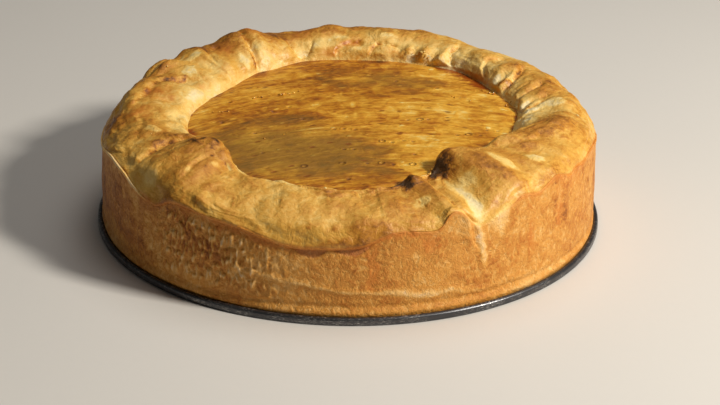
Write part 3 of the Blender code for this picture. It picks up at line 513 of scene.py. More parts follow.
# Rows of clear bubbles in the wash: ((x, y) from, (x, y) to, how many, radius), and their middles' height
# over the lid's flat top.
BUBBLE_ROWS = (
    ((-50, 23), (-25, 34), 15, 0.62), ((-70, 2), (-58, 6), 4, 0.5), ((78, 18), (82, 24), 3, 0.75),
    ((-40, -30), (-30, -22), 4, 0.45), ((50, 30), (64, 24), 4, 0.5), ((66, 40), (72, 34), 3, 0.7),
)
BUBBLE_HEIGHT = 0.45

# A bubble or flake is longer one way and narrower the other, by shares between these.
BIT_LONGER = (0.8, 1.5)
BIT_NARROWER = (0.5, 0.9)

# Loose flakes on torn places: (angle, share, spread round, spread across, how many, size, pale share).
FLAKE_PLACES = (
    (262, 1.56, 16, 3, 12, 0.9, 0.5), (152, 1.52, 14, 4, 10, 1.0, 0.7), (14, 1.78, 5, 9, 8, 0.9, 0.8),
    (212, 1.72, 4, 6, 10, 1.0, 0.1), (298, 1.74, 4, 7, 12, 1.1, 0.1), (64, 1.86, 8, 4, 8, 1.0, 0.5),
    (340, 1.45, 40, 12, 12, 0.6, 0.2), (200, 1.50, 60, 12, 14, 0.6, 0.2), (90, 1.50, 60, 12, 12, 0.6, 0.2),
)

# Rings that close the pieces where nothing shows: the wall's rounded upper edge, as (inward, up) from its
# last row, and the shelf inside it; the fold's root, in the same terms from its first row, and its
# underside, as (share of the way from the crease to the lid, sag); the chamfer under the lid's edge.
WALL_EDGE = ((0.25, 0.12), (0.9, 0.05), (4.0, -3.0))
SHELF_RADIUS = 100.0
SHELF_HEIGHT = 43.0
FOLD_ROOT = ((2.6, -1.6), (0.7, -0.9))
FOLD_UNDERSIDE = ((0.7, 2.0), (0.35, 2.6))
LID_CHAMFER = 0.4

# Columns and rows of the fine surfaces, of each bubble and flake, and of the floor.
DOUGH_COLUMNS = 1000
WALL_ROWS = 88
FOLD_ROWS = 90
LID_COLUMNS = 720
LID_RINGS = 118
TIN_COLUMNS = 360
BIT_COLUMNS = 10
BIT_ROWS = 4
FLOOR_COLUMNS = 96
FLOOR_ROWS = 24

# Camera, fitted to the photograph: place and direction in metres, and roll in degrees.
CAMERA_AT = (0.005848, -0.908142, 0.410893)
CAMERA_FORWARD = (0.0, 0.912881, -0.408227)
CAMERA_ROLL = 0.824

# Soft square lights, all aimed at one place: (angle round the pie, elevation, distance and size in metres,
# colour). Then that place in metres, and the colour of the room's even light.
LIGHTS = {
    "key": (334, 36, 1.4, 0.22, (1.0, 0.95, 0.86)),
    "top": (50, 72, 1.6, 1.1, (1.0, 0.97, 0.93)),
}
LIGHTS_AIM = Vector((0, 0, 0.04))
ROOM_COLOUR = (1.0, 0.97, 0.93, 1)

# Radii of the floor's outermost and innermost rings, in metres.
FLOOR_REACH = 8.0
FLOOR_INNER_RING = 0.2


# Curves and noise

def between(t, low, low_slope, high, high_slope):
    """A cubic from one value to the next, as t goes from 0 to 1, with a given slope at each."""
    return (
        (2 * t**3 - 3 * t**2 + 1) * low
        + (t**3 - 2 * t**2 + t) * low_slope
        + (3 * t**2 - 2 * t**3) * high
        + (t**3 - t**2) * high_slope
    )


def around(stations, angle):
    """Values at any angle from a closed, smooth curve through the stations. Its pieces are cubics, and its
    slope at a station is that of the line from the station before to the one after."""
    curve = np.array(stations, float)
    at = np.concatenate([curve[:, 0] - 360, curve[:, 0], curve[:, 0] + 360])
    value = np.tile(curve[:, 1:], (3, 1))
    slope = np.zeros_like(value)
    slope[1:-1] = (value[2:] - value[:-2]) / (at[2:] - at[:-2])[:, None]
    angle = np.asarray(angle, float) % 360
    k = np.searchsorted(at, angle, side="right") - 1
    step = (at[k + 1] - at[k])[:, None]
    t = (angle - at[k])[:, None] / step
    return between(t, value[k], step * slope[k], value[k + 1], step * slope[k + 1])


def through(points, place):
    """A smooth curve through columns of points, read at places from 0 to the last column. Its pieces and
    slopes are those of a curve round the pie, but it has two ends."""
    slope = np.empty_like(points)
    slope[:, 1:-1] = (points[:, 2:] - points[:, :-2]) / 2
    slope[:, 0] = points[:, 1] - points[:, 0]
    slope[:, -1] = points[:, -1] - points[:, -2]
    k = np.clip(np.floor(place).astype(int), 0, points.shape[1] - 2)
    t = (place - k)[None]
    return between(t, points[:, k], slope[:, k], points[:, k + 1], slope[:, k + 1])


def bump(distance, width):
    """A smooth bell, 1 at distance 0 and near 0 past the width: e to the minus square of their ratio."""
    return np.exp(-((distance / width) ** 2))


def ease(value, low, high):
    """0 below low, 1 above high, and a smooth step between: 3t squared minus 2t cubed."""
    t = np.clip((value - low) / (high - low), 0, 1)
    return t * t * (3 - 2 * t)


def gradient_noise(x, y, wrap, seed):
    """Gradient noise of about -1 to 1 with cells of size 1, which repeats every `wrap` cells along x. At
    each cell's corner a random slope is followed to the point, and the four heights are eased together.
    Rows of cells are counted from the lowest one."""
    low = np.floor(y).astype(int)
    first = low.min()
    turns = np.random.default_rng(seed).uniform(0, 2 * math.pi, (wrap, low.max() - first + 2))
    slope_x, slope_y = np.cos(turns), np.sin(turns)
    left = np.floor(x).astype(int)
    u, v = x - left, y - low
    across, up = (t * t * t * (t * (6 * t - 15) + 10) for t in (u, v))

    def corner(i, j):
        """Height of one corner's slope at the points."""
        column, row = (left + i) % wrap, low - first + j
        return slope_x[column, row] * (u - i) + slope_y[column, row] * (v - j)

    below = corner(0, 0) * (1 - across) + corner(1, 0) * across
    above = corner(0, 1) * (1 - across) + corner(1, 1) * across
    return 1.5 * (below * (1 - up) + above * up)


def dough_noise(turn, up, cell_round, cell_up, seed):
    """Noise over the dough, closed round the pie, from the angle and the distance up the surface. The
    cells' sizes are in millimetres round the pie and up the surface."""
    wrap = max(3, round(ROUND_LENGTH / cell_round))
    x, y = np.broadcast_arrays(turn / 360 * wrap, up / cell_up)
    return gradient_noise(x, y, wrap, seed)


def layered_noise(turn, up, layers, seed):
    """Sum of noises over the dough, each with its own strength, cells and seed, the first seed given."""
    return sum(
        strength * dough_noise(turn, up, *cell, seed + k) for k, (strength, *cell) in enumerate(layers)
    )


# The dough's surface

def wall_radius(height):
    """Upright wall that draws in a little towards its top, with a foot lip and a groove above it."""
    taper = np.clip((height - WALL_TAPER_FROM) / (WALL_TAPER_TO - WALL_TAPER_FROM), 0, MOST_TAPER)
    foot = np.clip((height - DOUGH_BOTTOM) / (TIN_EDGE_HEIGHT - DOUGH_BOTTOM), 0, 1)
    return (
        FOOT_RADIUS + (WALL_RADIUS - FOOT_RADIUS) * foot
        + (WALL_TOP_RADIUS - WALL_RADIUS) * taper
        + FOOT_LIP * bump(height - FOOT_LIP_HEIGHT, FOOT_WIDTH)
        - FOOT_GROOVE * bump(height - FOOT_GROOVE_HEIGHT, FOOT_WIDTH)
    )


def plain_profile(angle, share):
    """Radius and height of the dough before its relief. Share runs 0 to 1 up the wall to the crease,
    then 1 to 2 over the fold through the shoulder, crest and inner lip down to the lid."""
    crease = around(CREASE, angle)[:, 0]
    crest, crest_radius = around(CREST, angle).T
    opening = around(OPENING, angle)[:, 0]
    lean = around(SHOULDER, angle)[:, 0]
    curl = around(CURL, angle)[:, 0]
    height = DOUGH_BOTTOM + (crease - DOUGH_BOTTOM)[:, None] * np.clip(share, 0, 1)[None]
    rim = wall_radius(crease)
    over_lid = crest - LID_TOP
    stations_r = np.stack([
        rim,
        rim - lean * (rim - crest_radius),
        crest_radius,
        crest_radius - BROW_REACH * (crest_radius - opening) - curl,
        opening,
    ], 1)
    stations_z = np.stack([
        crease,
        crease + SHOULDER_RISE * (crest - crease),
        crest,
        LID_TOP + BROW_RISE * over_lid + CURL_RISE * curl,
        np.full_like(crest, LID_TOP - FOLD_SINK),
    ], 1)
    place = np.clip(share - 1, 0, 1) * (stations_r.shape[1] - 1)
    folded = (share > 1)[None]
    radius = np.where(folded, through(stations_r, place), wall_radius(height))
    return radius, np.where(folded, through(stations_z, place), height)


def travel(share):
    """Distance over the surface up from the foot."""
    return np.where(share < 1, share * WALL_LENGTH, WALL_LENGTH + (share - 1) * FOLD_LENGTH)


def turn_between(angle, other):
    """Signed turn from one angle to another, by the short way."""
    return (other - angle + 180) % 360 - 180


def at_nearest(values, nearest):
    """The value at each point's nearest piece of a route."""
    return np.take_along_axis(values, nearest, 2)[..., 0]


def pleat(angle, share, radius, route, side, lift_start, lift_end, reach, gap_depth, gap_width):
    """A step along a route, as (height, how deep in the gap, how near the lifted edge). The lifted side
    rises from the gap and blends in over its reach. The lift goes evenly from its start to its end, and
    all fade out at the two ends of the route. Distances are measured over the surface."""
    points = np.array(route, float)
    places = np.linspace(0, len(points) - 1, PLEAT_SAMPLES)
    along_angle = through(points[None, :, 0], places)[0]
    along_travel = travel(1 + through(points[None, :, 1], places)[0])
    half_turn = np.ptp(points[:, 0]) / 2
    near = np.abs(turn_between(angle, points[:, 0].mean())) < half_turn + PLEAT_WINDOW
    height, gap, edge = np.zeros((3, *radius.shape))
    if not near.any():
        return height, gap, edge
    turn, up = angle[near][:, None], travel(share)[None]
    sway_round, sway_up = (layered_noise(turn, up, PLEAT_SWAY, seed) for seed in (51, 61))
    turn_by = np.radians(turn_between(angle[near][:, None, None], along_angle))
    round_by = turn_by * radius[near][..., None] + sway_round[..., None]
    across_by = along_travel - (up + sway_up)[..., None] + 0 * round_by
    start_u, start_v = round_by[..., :-1], across_by[..., :-1]
    step_u, step_v = np.diff(round_by, axis=2), np.diff(across_by, axis=2)
    along = np.clip(-(start_u * step_u + start_v * step_v) / (step_u**2 + step_v**2 + 1e-9), 0, 1)
    off_u, off_v = start_u + along * step_u, start_v + along * step_v
    distance = np.hypot(off_u, off_v)
    nearest = distance.argmin(2)[..., None]
    handed = np.sign(at_nearest(off_u * step_v - off_v * step_u, nearest))
    signed = -side * handed * at_nearest(distance, nearest)
    place = (at_nearest(along, nearest) + nearest[..., 0]) / (PLEAT_SAMPLES - 1)
    fade = np.clip(place / PLEAT_FADE, 0, 1) * np.clip((1 - place) / PLEAT_FADE, 0, 1)
    fade = ease(fade, 0, 1)
    lift = lift_start + (lift_end - lift_start) * place
    lifted = 1 / (1 + np.exp(-signed / PLEAT_EDGE))
    away = np.abs(signed)
    rise = lift * (1 - (1 - PLEAT_LIP) * np.exp(-away / PLEAT_LIP_WIDTH)) * np.exp(-away / reach)
    sunk = (1 - lifted) * bump(signed, gap_width)
    height[near] = fade * (lifted * rise - gap_depth * sunk)
    # The gap mask paints the gap's shade as darker colour.
    gap[near] = fade * (1 - lifted) * bump(signed, PLEAT_GAP_SHARE * gap_width)
    gap[near] *= min(1, gap_depth / PLEAT_FULL_GAP)
    edge[near] = fade * lifted * bump(signed, PLEAT_EDGE_WIDTH)
    return height, gap, edge


def spots(places, angle, share, radius, ragged=0.0):
    """Sum of soft oval spots, each e to the minus square of its distance in its own half sizes. Where the
    spots are ragged, two noises push the points about before the distance is taken."""
    strength = np.zeros_like(radius)
    turn, up = angle[:, None], travel(share)[None]
    push_round = push_up = 0.0
    if ragged:
        push_round, push_up = (ragged * layered_noise(turn, up, RAGGED_EDGE, seed) for seed in (71, 81))
    for centre, at, most, length, width in places:
        round_by = np.radians(turn_between(angle, centre))[:, None] * radius + push_round
        across_by = travel(np.float64(at)) - up + RAGGED_UP * push_up
        strength += most * np.exp(-((round_by / length) ** 2 + (across_by / width) ** 2))
    return strength


def hollows(angle, share):
    """Mask of the hollows under the crease. Each lies below the crease and above an arch that goes down
    to its depth at the middle: depth times 1 minus the square of the way from the middle to an end."""
    above = (travel(share) - WALL_LENGTH)[None]
    inside = np.zeros((len(angle), len(share)))
    edge = 0.5 * dough_noise(angle[:, None], above, 4, 4, 23)
    for start, end, depth in HOLLOWS:
        off = turn_between((start + end) / 2, angle)[:, None] / ((end - start) / 2)
        arch = ease(above + depth * (1 - off * off) + edge, -HOLLOW_EDGE, HOLLOW_EDGE)
        inside = np.maximum(inside, arch * (np.abs(off) < 1) * (above < 0))
    return inside


def seam(angle, share):
    """Mask of the ridge on the wall's front: a bell across its route, which a noise sways."""
    at, shares, strengths = np.array(SEAM).T
    route = travel(np.interp(angle, at, shares))[:, None]
    sway = 0.8 * dough_noise(angle[:, None], route, 7, 7, 25)
    off = travel(share)[None] - route - sway
    return np.interp(angle, at, strengths, 0, 0)[:, None] * bump(off, SEAM_WIDTH)


def blisters(angle, share):
    """Upright blisters of the wall's left front, 0 to 1: the high parts of a noise with upright cells."""
    turn, up = angle[:, None], travel(share)[None]
    round_the_wall = ease(angle, *BLISTERS_BEGIN) * (1 - ease(angle, *BLISTERS_END))
    up_the_wall = ease(share, *BLISTERS_FOOT) * (1 - ease(share, *BLISTERS_TOP))
    bend = 1.5 * dough_noise(turn, up, 9, 9, 24)
    raised = np.clip(1.5 * dough_noise(turn, up + bend, BLISTER_ROUND, BLISTER_UP, 20) + 0.12, 0, 1)
    return round_the_wall[:, None] * up_the_wall[None] * raised


def fine_relief(angle, share):
    """Unevenness smaller than the folds: on the fold soft lumps and thin wrinkles that run along it, on
    the wall the tin's faint print, grain, and a patch of upright blisters."""
    turn, up = angle[:, None], travel(share)[None]
    settings = bpy.context.scene.pie_dough
    bend = 2.5 * dough_noise(turn, up, 18, 18, 11)
    lumps = (
        layered_noise(turn, up, BROAD_LUMPS, 12)
        + layered_noise(turn, up + bend, SMALL_LUMPS, 13)
        + layered_noise(turn, up, TINY_LUMPS, 14)
    )
    ridges = 1 - np.abs(dough_noise(turn, up + bend, 19, 3.6, 15)) * 2.2
    wrinkles = np.clip(ridges, 0, 1) ** 2 * ease(dough_noise(turn, up, 26, 20, 16), -0.1, 0.5)
    on_fold = ease(share, 0.99, 1.05)[None]
    on_wall = layered_noise(turn, up, TIN_PRINT, 17) + settings.blister_height / MM * blisters(angle, share)
    return (
        on_fold * settings.lumps / MM * (lumps + 0.24 * wrinkles)
        + (1 - on_fold) * on_wall
        + settings.grain_height / MM * dough_noise(turn, up, 2.0, 2.0, 19)
    )


def relief(angle, share, radius):
    """All relief as a distance along the surface's normal, and the masks that its folds make: gaps, pale
    edges and browned edges. It sums the pleats, the swellings, slow waves, the step and the roll at the
    crease, the fine relief, and the wall's hollows and its ridge."""
    height, gaps, pale, brown = np.zeros((4, *radius.shape))
    for name, *values in PLEATS + SMALL_FOLDS:
        rise, gap, edge = pleat(angle, share, radius, *values)
        height += rise
        gaps = np.maximum(gaps, gap)
        pale = np.maximum(pale, edge * (name in PALE_EDGES))
        brown = np.maximum(brown, edge * (name in BROWN_EDGES))
    for swellings, ragged in ((SWELLINGS, 0), (SMALL_SWELLINGS, 1)):
        height += spots([(at, 1 + up, *rest) for at, up, *rest in swellings], angle, share, radius, ragged)
    turn = np.radians(angle)[:, None]
    up = (travel(share) / (WALL_LENGTH + FOLD_LENGTH) * 2 * math.pi)[None]
    grown = np.clip((share - WAVES_FROM) / (WAVES_TO - WAVES_FROM), 0, 1)
    for rounds, across, rise, shift in DOUGH_WAVES:
        height += rise * np.sin(rounds * turn + across * up + shift) * grown[None]
    step = around(CREASE_STEP, angle)[:, :1]
    above = travel(share)[None] - WALL_LENGTH
    proud = np.maximum(step, 0) * bump(above, CREASE_WIDTH)
    under = np.minimum(step, 0) * bump(above, OVERHANG_WIDTH)
    rolled = sum(rise * bump(above - middle, width) for rise, middle, width in ROLL_AND_HOLLOW)
    height += np.where(above < 0, proud + under, around(CREASE_ROLL, angle)[:, :1] * rolled - proud)
    height += fine_relief(angle, share) - HOLLOW_SINK * hollows(angle, share) + SEAM_RISE * seam(angle, share)
    return height, gaps, pale, brown


def dough_surface(angle, share):
    """Points of the dough's outer surface, the plain profile moved along its normals by the relief, and
    the normals, and a dict of masks over it. Near the crease the normals turn to straight outward. The
    mask `lay` is the surface laid out on a cylinder that is as long as the distance over the surface."""
    radius, height = plain_profile(angle, share)
    turn = np.radians(angle)[:, None]
    plain = np.stack([radius * np.cos(turn), radius * np.sin(turn), height], 2)
    round_the_pie = np.stack([-np.sin(turn), np.cos(turn), np.zeros_like(turn)], 2)
    normal = np.cross(round_the_pie + np.zeros_like(plain), np.gradient(plain, axis=1))
    outward = np.stack([np.cos(turn), np.sin(turn), np.zeros_like(turn)], 2)
    normal /= np.linalg.norm(normal, axis=2, keepdims=True)
    own = ease(travel(share) - WALL_LENGTH, 0, CREASE_BLEND)[None, :, None]
    normal = own * normal + (1 - own) * outward
    normal /= np.linalg.norm(normal, axis=2, keepdims=True)
    rise, gaps, pale_edges, brown_edges = relief(angle, share, radius)
    kept = (np.clip(share / FOOT_FADE, 0, 1) * np.clip((2 - share) / LID_FADE, 0, 1))[None]
    above = (travel(share) - WALL_LENGTH)[None]
    line = around(CREASE_BROWN, angle)[:, :1] * bump(above, CREASE_LINE)
    lip = around(LIP_PALE, angle)[:, :1] * bump(above + LIP_BELOW, LIP_LINE) * (above < 0)
    # Besides how the dough baked, some masks carry painted light: browned, gap and crease darken places where
    # shade falls, pale lightens a few places where light falls, and blister marks the blisters' painted
    # highlights.
    masks = {
        "browned": spots(BROWNED_AND_SHADED, angle, share, radius, 1.4) + 0.6 * brown_edges,
        "pale": spots(PALE_AND_LIT, angle, share, radius, 1.0) + 0.5 * pale_edges + lip + 0.55 * seam(angle, share),
        "gap": np.maximum(gaps, spots(DARK_SHADE, angle, share, radius, 0.8)),
        "crease": np.clip(line + spots(RUSTY_AND_SHADED, angle, share, radius, 1.4), 0, 1) * (1 - np.clip(lip, 0, 1)),
        "fold": ease(share, 0.97, 1.03)[None] + 0 * radius,
        "high": rise / 5 + 0.35,
        "hollow": hollows(angle, share),
        "blister": blisters(angle, share),
    }
    masks = {name: np.clip(mask, 0, 1.5) for name, mask in masks.items()}
    cylinder = ROUND_LENGTH / (2 * math.pi)
    lay = np.broadcast_arrays(cylinder * np.cos(turn), cylinder * np.sin(turn), travel(share)[None])
    masks["lay"] = np.stack(lay, 2) * MM
    return plain + normal * (rise * kept)[..., None], normal, masks


# Meshes

def round_angles(columns):
    """Angles of so many columns, evenly round the pie."""
    return np.arange(columns) * 360 / columns


def ring_points(angle, radius, height):
    """One ring of points at a radius and a height, either of which may vary round the pie."""
    turn = np.radians(angle)
    return np.stack([radius * np.cos(turn), radius * np.sin(turn), height + 0 * turn], 1)


def moved(points, inward, up):
    """Points moved towards the pie's axis and up."""
    radius = np.hypot(points[..., 0], points[..., 1])[..., None]
    shrink = (radius - inward) / radius
    return np.concatenate([points[..., :2] * shrink, points[..., 2:] + up], -1)


def by_rows(values):
    """Values over (columns, rows) as one flat list in the order of the points."""
    return np.swapaxes(values, 0, 1).reshape(-1, *values.shape[2:])


def add_rows(before, surface, after, masks):
    """The surface with single rows set before and after it, and its masks stretched over those rows and
    put in the order of the points."""
    rings = np.concatenate([*before, surface, *after], 1)
    spare = ((0, 0), (len(before), len(after)), (0, 0))
    return rings, {
        name: by_rows(np.pad(mask, spare[:mask.ndim], "edge")) for name, mask in masks.items()
    }


def grid_faces(columns, rows, closed=False):
    """Quads of a grid that is closed round its columns, and also over its rows where closed is true.
    Points are numbered row by row."""
    here = np.arange(columns)
    after = (here + 1) % columns
    low = np.arange(rows if closed else rows - 1)[:, None] * columns
    high = (low + columns) % (rows * columns)
    return np.stack([low + here, low + after, high + after, high + here], 2).reshape(-1, 4)


def capped(rings, low, high):
    """Points, quads and end fans of a turned form: rings over (columns, rows), closed at both ends by a
    pole on the axis at the low and the high height."""
    columns, rows = rings.shape[:2]
    points = np.concatenate([by_rows(rings), [(0, 0, low), (0, 0, high)]])
    here, end = np.arange(columns), rows * columns
    return points, grid_faces(columns, rows), [(here[::-1], end), (end - columns + here, end + 1)]


def make_piece(name, material, points, quads, fans=(), masks=None):
    """Mesh object from points in millimetres, quads, and fans: (ring of points, pole) with the ring
    anticlockwise about the pole. Masks become attributes of the points, 0 at poles that they leave out."""
    mesh = bpy.data.meshes.new(name)
    faces = quads.tolist()
    for ring, pole in fans:
        faces += np.stack([ring, np.roll(ring, -1), np.full(len(ring), pole)], 1).tolist()
    mesh.from_pydata((points * MM).tolist(), [], faces)
    for label, values in (masks or {}).items():
        kind, field = ("FLOAT_VECTOR", "vector") if values.ndim > 1 else ("FLOAT", "value")
        values = np.concatenate([values, np.zeros((len(points) - len(values), *values.shape[1:]))])
        layer = mesh.attributes.new(label, kind, "POINT")
        layer.data.foreach_set(field, values.astype(np.float32).ravel())
    mesh.shade_smooth()
    mesh.materials.append(material)
    piece = bpy.data.objects.new(name, mesh)
    bpy.context.scene.collection.objects.link(piece)
    return piece


def settle(piece, slot, *nodes):
    """Puts a finished piece on the frame under its body, and hides the nodes it stands for. The slot is not
    used.
    """
    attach(piece, BODY)
    if nodes:
        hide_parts(*nodes)


# Wall and fold

def make_wall(material):
    """Wall from the foot to the crease, whose upper edge is a thin rounded lip, closed by a flat foot and
    by a hidden shelf under the fold and lid."""
    angle = round_angles(DOUGH_COLUMNS)
    surface, _, masks = dough_surface(angle, np.linspace(0, 1 - CREASE_GAP, WALL_ROWS))
    edge = [moved(surface[:, -1:], inward, up) for inward, up in WALL_EDGE]
    shelf = ring_points(angle, SHELF_RADIUS, SHELF_HEIGHT)[:, None]
    rings, masks = add_rows([], surface, [*edge, shelf], masks)
    return make_piece("crust_wall", material, *capped(rings, DOUGH_BOTTOM, SHELF_HEIGHT), masks)


def make_fold(material):
    """Folded edge from the crease over the crest to the lid, closed underneath by a slack inner face."""
    angle = round_angles(DOUGH_COLUMNS)
    surface, _, masks = dough_surface(angle, np.linspace(1 + CREASE_GAP, 2, FOLD_ROWS))
    start, end = surface[:, :1], surface[:, -1:]
    root = [moved(start, inward, up) for inward, up in FOLD_ROOT]
    underside = [part * end + (1 - part) * start - (0, 0, sag) for part, sag in FOLD_UNDERSIDE]
    rings, masks = add_rows(root, surface, underside, masks)
    quads = grid_faces(*rings.shape[:2], closed=True)
    return make_piece("folded_rim", material, by_rows(rings), quads, (), masks)


# The lid

def stroke_place(x, y):
    """Distance across the brush strokes: y less their slope, and plus their bend times x squared."""
    return y - STROKE_SLOPE * x + STROKE_BEND * x * x


def lid_noise(x, y, layers):
    """Sum of noises over the lid, each with its own strength, cells and seed."""
    return sum(
        strength * gradient_noise(x / along + LID_CENTRE_CELL, y / across, LID_CELLS, seed)
        for strength, along, across, seed in layers
    )


def oval(x, y, at_x, at_y, length, width, most):
    """A soft oval spot on the lid: a bell of the distance from its middle in its own half sizes."""
    return most * bump(np.hypot((x - at_x) / length, (y - at_y) / width), 1)


def lid_surface(x, y, angle, part):
    """Height of the lid over its flat top, and its masks. It sums a faint dome, slow swells, furrows along
    the brush strokes and the fork marks; part is the share of the way from the centre to the lid's edge."""
    settings = bpy.context.scene.pie_lid
    across = stroke_place(x, y)
    swell = lid_noise(x, y, LID_SWELLS) + settings.stroke_depth / MM * lid_noise(x, across, LID_FURROWS)
    hole, ring, mark = np.zeros((3, *x.shape))
    for at_x, at_y, is_open in FORK_MARKS:
        distance = np.hypot((x - at_x) / PRICK_STRETCH, y - at_y)
        around_it = bump(distance - PRICK_RING, PRICK_RING_WIDTH)
        hole = np.maximum(hole, bump(distance, PRICK_RADIUS))
        ring = np.maximum(ring, around_it)
        mark = np.maximum(mark, around_it if is_open else bump(distance, 1.2 * PRICK_RADIUS))
    # pool: wash pooled at the edge, which also paints the fold's shadow along it.
    pool = np.zeros_like(x)
    edge = around(OPENING, angle)[:, :1] * (1 - part)[None]
    for centre, half, reach in POOLS_AND_EDGE_SHADE:
        pool = np.maximum(pool, bump(turn_between(angle, centre), half)[:, None] * bump(edge, reach))
    cream = np.zeros_like(x)
    for at_x, at_y, length, width, most in CREAM_STREAKS_AND_GLINTS:
        off = across - stroke_place(at_x, at_y)
        cream = np.maximum(cream, most * bump(x - at_x, length) * bump(off, width))
    film = sum(oval(x, y, *values) for values in FILMS)
    near_edge = ease(part, *LID_EDGE)[None]
    height = LID_DOME * (LID_DOME_FROM**2 - part**2)[None] + swell * (1 - near_edge)
    height += settings.prick_depth / MM * (PRICK_RING_RISE * ring - hole) - LID_EDGE_SINK * near_edge
    glow = ease(x, *GLOW_RIGHT) * ease(y, *GLOW_FRONT) + oval(x, y, *GLOW_PLACE)
    masks = {
        "prick": mark,
        "pool": pool,
        "cream": cream,
        "glow": np.maximum(glow, ease(x, *GLOW_LEFT)),
        "rim": near_edge + 0 * x,
        "film": film,
    }
    return height, masks


def make_lid(material):
    """A round of pastry whose edge runs under the folded rim, closed underneath."""
    angle = round_angles(LID_COLUMNS)
    edge = around(OPENING, angle)[:, 0] + LID_TUCK
    part = np.linspace(1, 1 / LID_RINGS, LID_RINGS)
    turn = np.radians(angle)[:, None]
    x, y = (edge[:, None] * part[None] * wave(turn) for wave in (np.cos, np.sin))
    height, masks = lid_surface(x, y, angle, part)
    top = np.stack([x, y, LID_TOP + height], 2)
    bottom = LID_TOP - LID_THICKNESS
    skirt = [
        ring_points(angle, edge - inward, bottom + up)[:, None]
        for inward, up in ((LID_CHAMFER, 0), (0, LID_CHAMFER))
    ]
    rings, masks = add_rows(skirt, top, [], masks)
    return make_piece("glazed_lid", material, *capped(rings, bottom, top[:, -1, 2].mean()), masks)


# Small things: bubbles in the wash and flakes on the folds

def scatter_bits(name, material, places, normals, lengths, flatness, unevenness, seed, masks):
    """Many small closed lumps in one mesh. Each is a ball whose points are pushed in or out at random. It is
    stretched along a random direction on the surface, flattened along its normal, and half sunk."""
    rng = np.random.default_rng(seed)
    count = len(places)
    rise = np.pi * (np.arange(1, BIT_ROWS + 1) / (BIT_ROWS + 1) - 0.5)
    rings = np.stack(
        [ring_points(round_angles(BIT_COLUMNS), np.cos(level), np.sin(level)) for level in rise], 1
    )
    ball, quads, fans = capped(rings, -1, 1)
    pushes = rng.uniform(-1, 1, (count, len(ball)))
    shapes = ball[None] * (1 + unevenness * pushes)[..., None]
    longer, narrower = rng.uniform(*BIT_LONGER, count), rng.uniform(*BIT_NARROWER, count)
    stretch = np.stack([longer, narrower, flatness + 0 * lengths], 1)
    shapes = shapes * (stretch * lengths[:, None])[:, None]
    away = rng.normal(size=(count, 3))
    along = away - (away * normals).sum(1, keepdims=True) * normals
    along /= np.linalg.norm(along, axis=1, keepdims=True)
    axes = np.stack([along, np.cross(normals, along), normals], 1)
    points = places[:, None] + np.einsum("nij,njk->nik", shapes, axes)
    starts = np.arange(count) * len(ball)
    return make_piece(
        name, material, points.reshape(-1, 3), (quads[None] + starts[:, None, None]).reshape(-1, 4),
        [(start + ring, start + pole) for start in starts for ring, pole in fans],
        {label: np.repeat(values, len(ball)) for label, values in masks.items()},
    )


def make_bubbles(material):
    """Clear bubbles in the egg wash, in loose rows."""
    rng = np.random.default_rng(21)
    places, sizes = [], []
    for (x0, y0), (x1, y1), count, radius in BUBBLE_ROWS:
        t = np.sort(rng.uniform(0, 1, count))
        x = x0 + (x1 - x0) * t + rng.uniform(-0.8, 0.8, count)
        y = y0 + (y1 - y0) * t + rng.uniform(-0.9, 0.9, count)
        places.append(np.stack([x, y, np.full(count, LID_TOP + BUBBLE_HEIGHT)], 1))
        sizes.append(radius * rng.uniform(0.6, 1.25, count))
    places, sizes = np.concatenate(places), np.concatenate(sizes)
    up = np.tile([0.0, 0.0, 1.0], (len(places), 1))
    return scatter_bits(
        "wash_bubbles", material, places, up, sizes, flatness=0.7, unevenness=0.06, seed=22, masks={}
    )


def make_flakes(material):
    """Flakes of torn dough and small crumbs that lie on the folds, more of them at the torn places."""
    rng = np.random.default_rng(41)
    angle, share, sizes, pale = [], [], [], []
    for centre, at, spread, across, count, size, pale_share in FLAKE_PLACES:
        angle.append(centre + rng.normal(0, 0.5, count) * math.degrees(spread / WALL_TOP_RADIUS))
        share.append(at + rng.normal(0, 0.5, count) * across / FOLD_LENGTH)
        sizes.append(size * rng.uniform(0.35, 1.0, count))
        pale.append(np.where(rng.uniform(0, 1, count) < pale_share, 0.9, 0.0))
    angle, share, sizes, pale = map(np.concatenate, (angle, share, sizes, pale))
    share = np.clip(share, 1.04, 1.97)
    order = np.argsort(share)
    angle, share, sizes, pale = angle[order], share[order], sizes[order], pale[order]
    surface, normal, _ = dough_surface(angle, share)
    own = np.arange(len(angle))
    masks = {"pale": 0.7 * pale, "browned": 0.4 * (1 - pale), "fold": 1 + 0 * pale, "high": 0.5 + 0 * pale}
    places, normals = surface[own, own], normal[own, own]
    return scatter_bits(
        "dough_flakes", material, places, normals, sizes, flatness=0.28, unevenness=0.3, seed=42, masks=masks
    )


# The tin

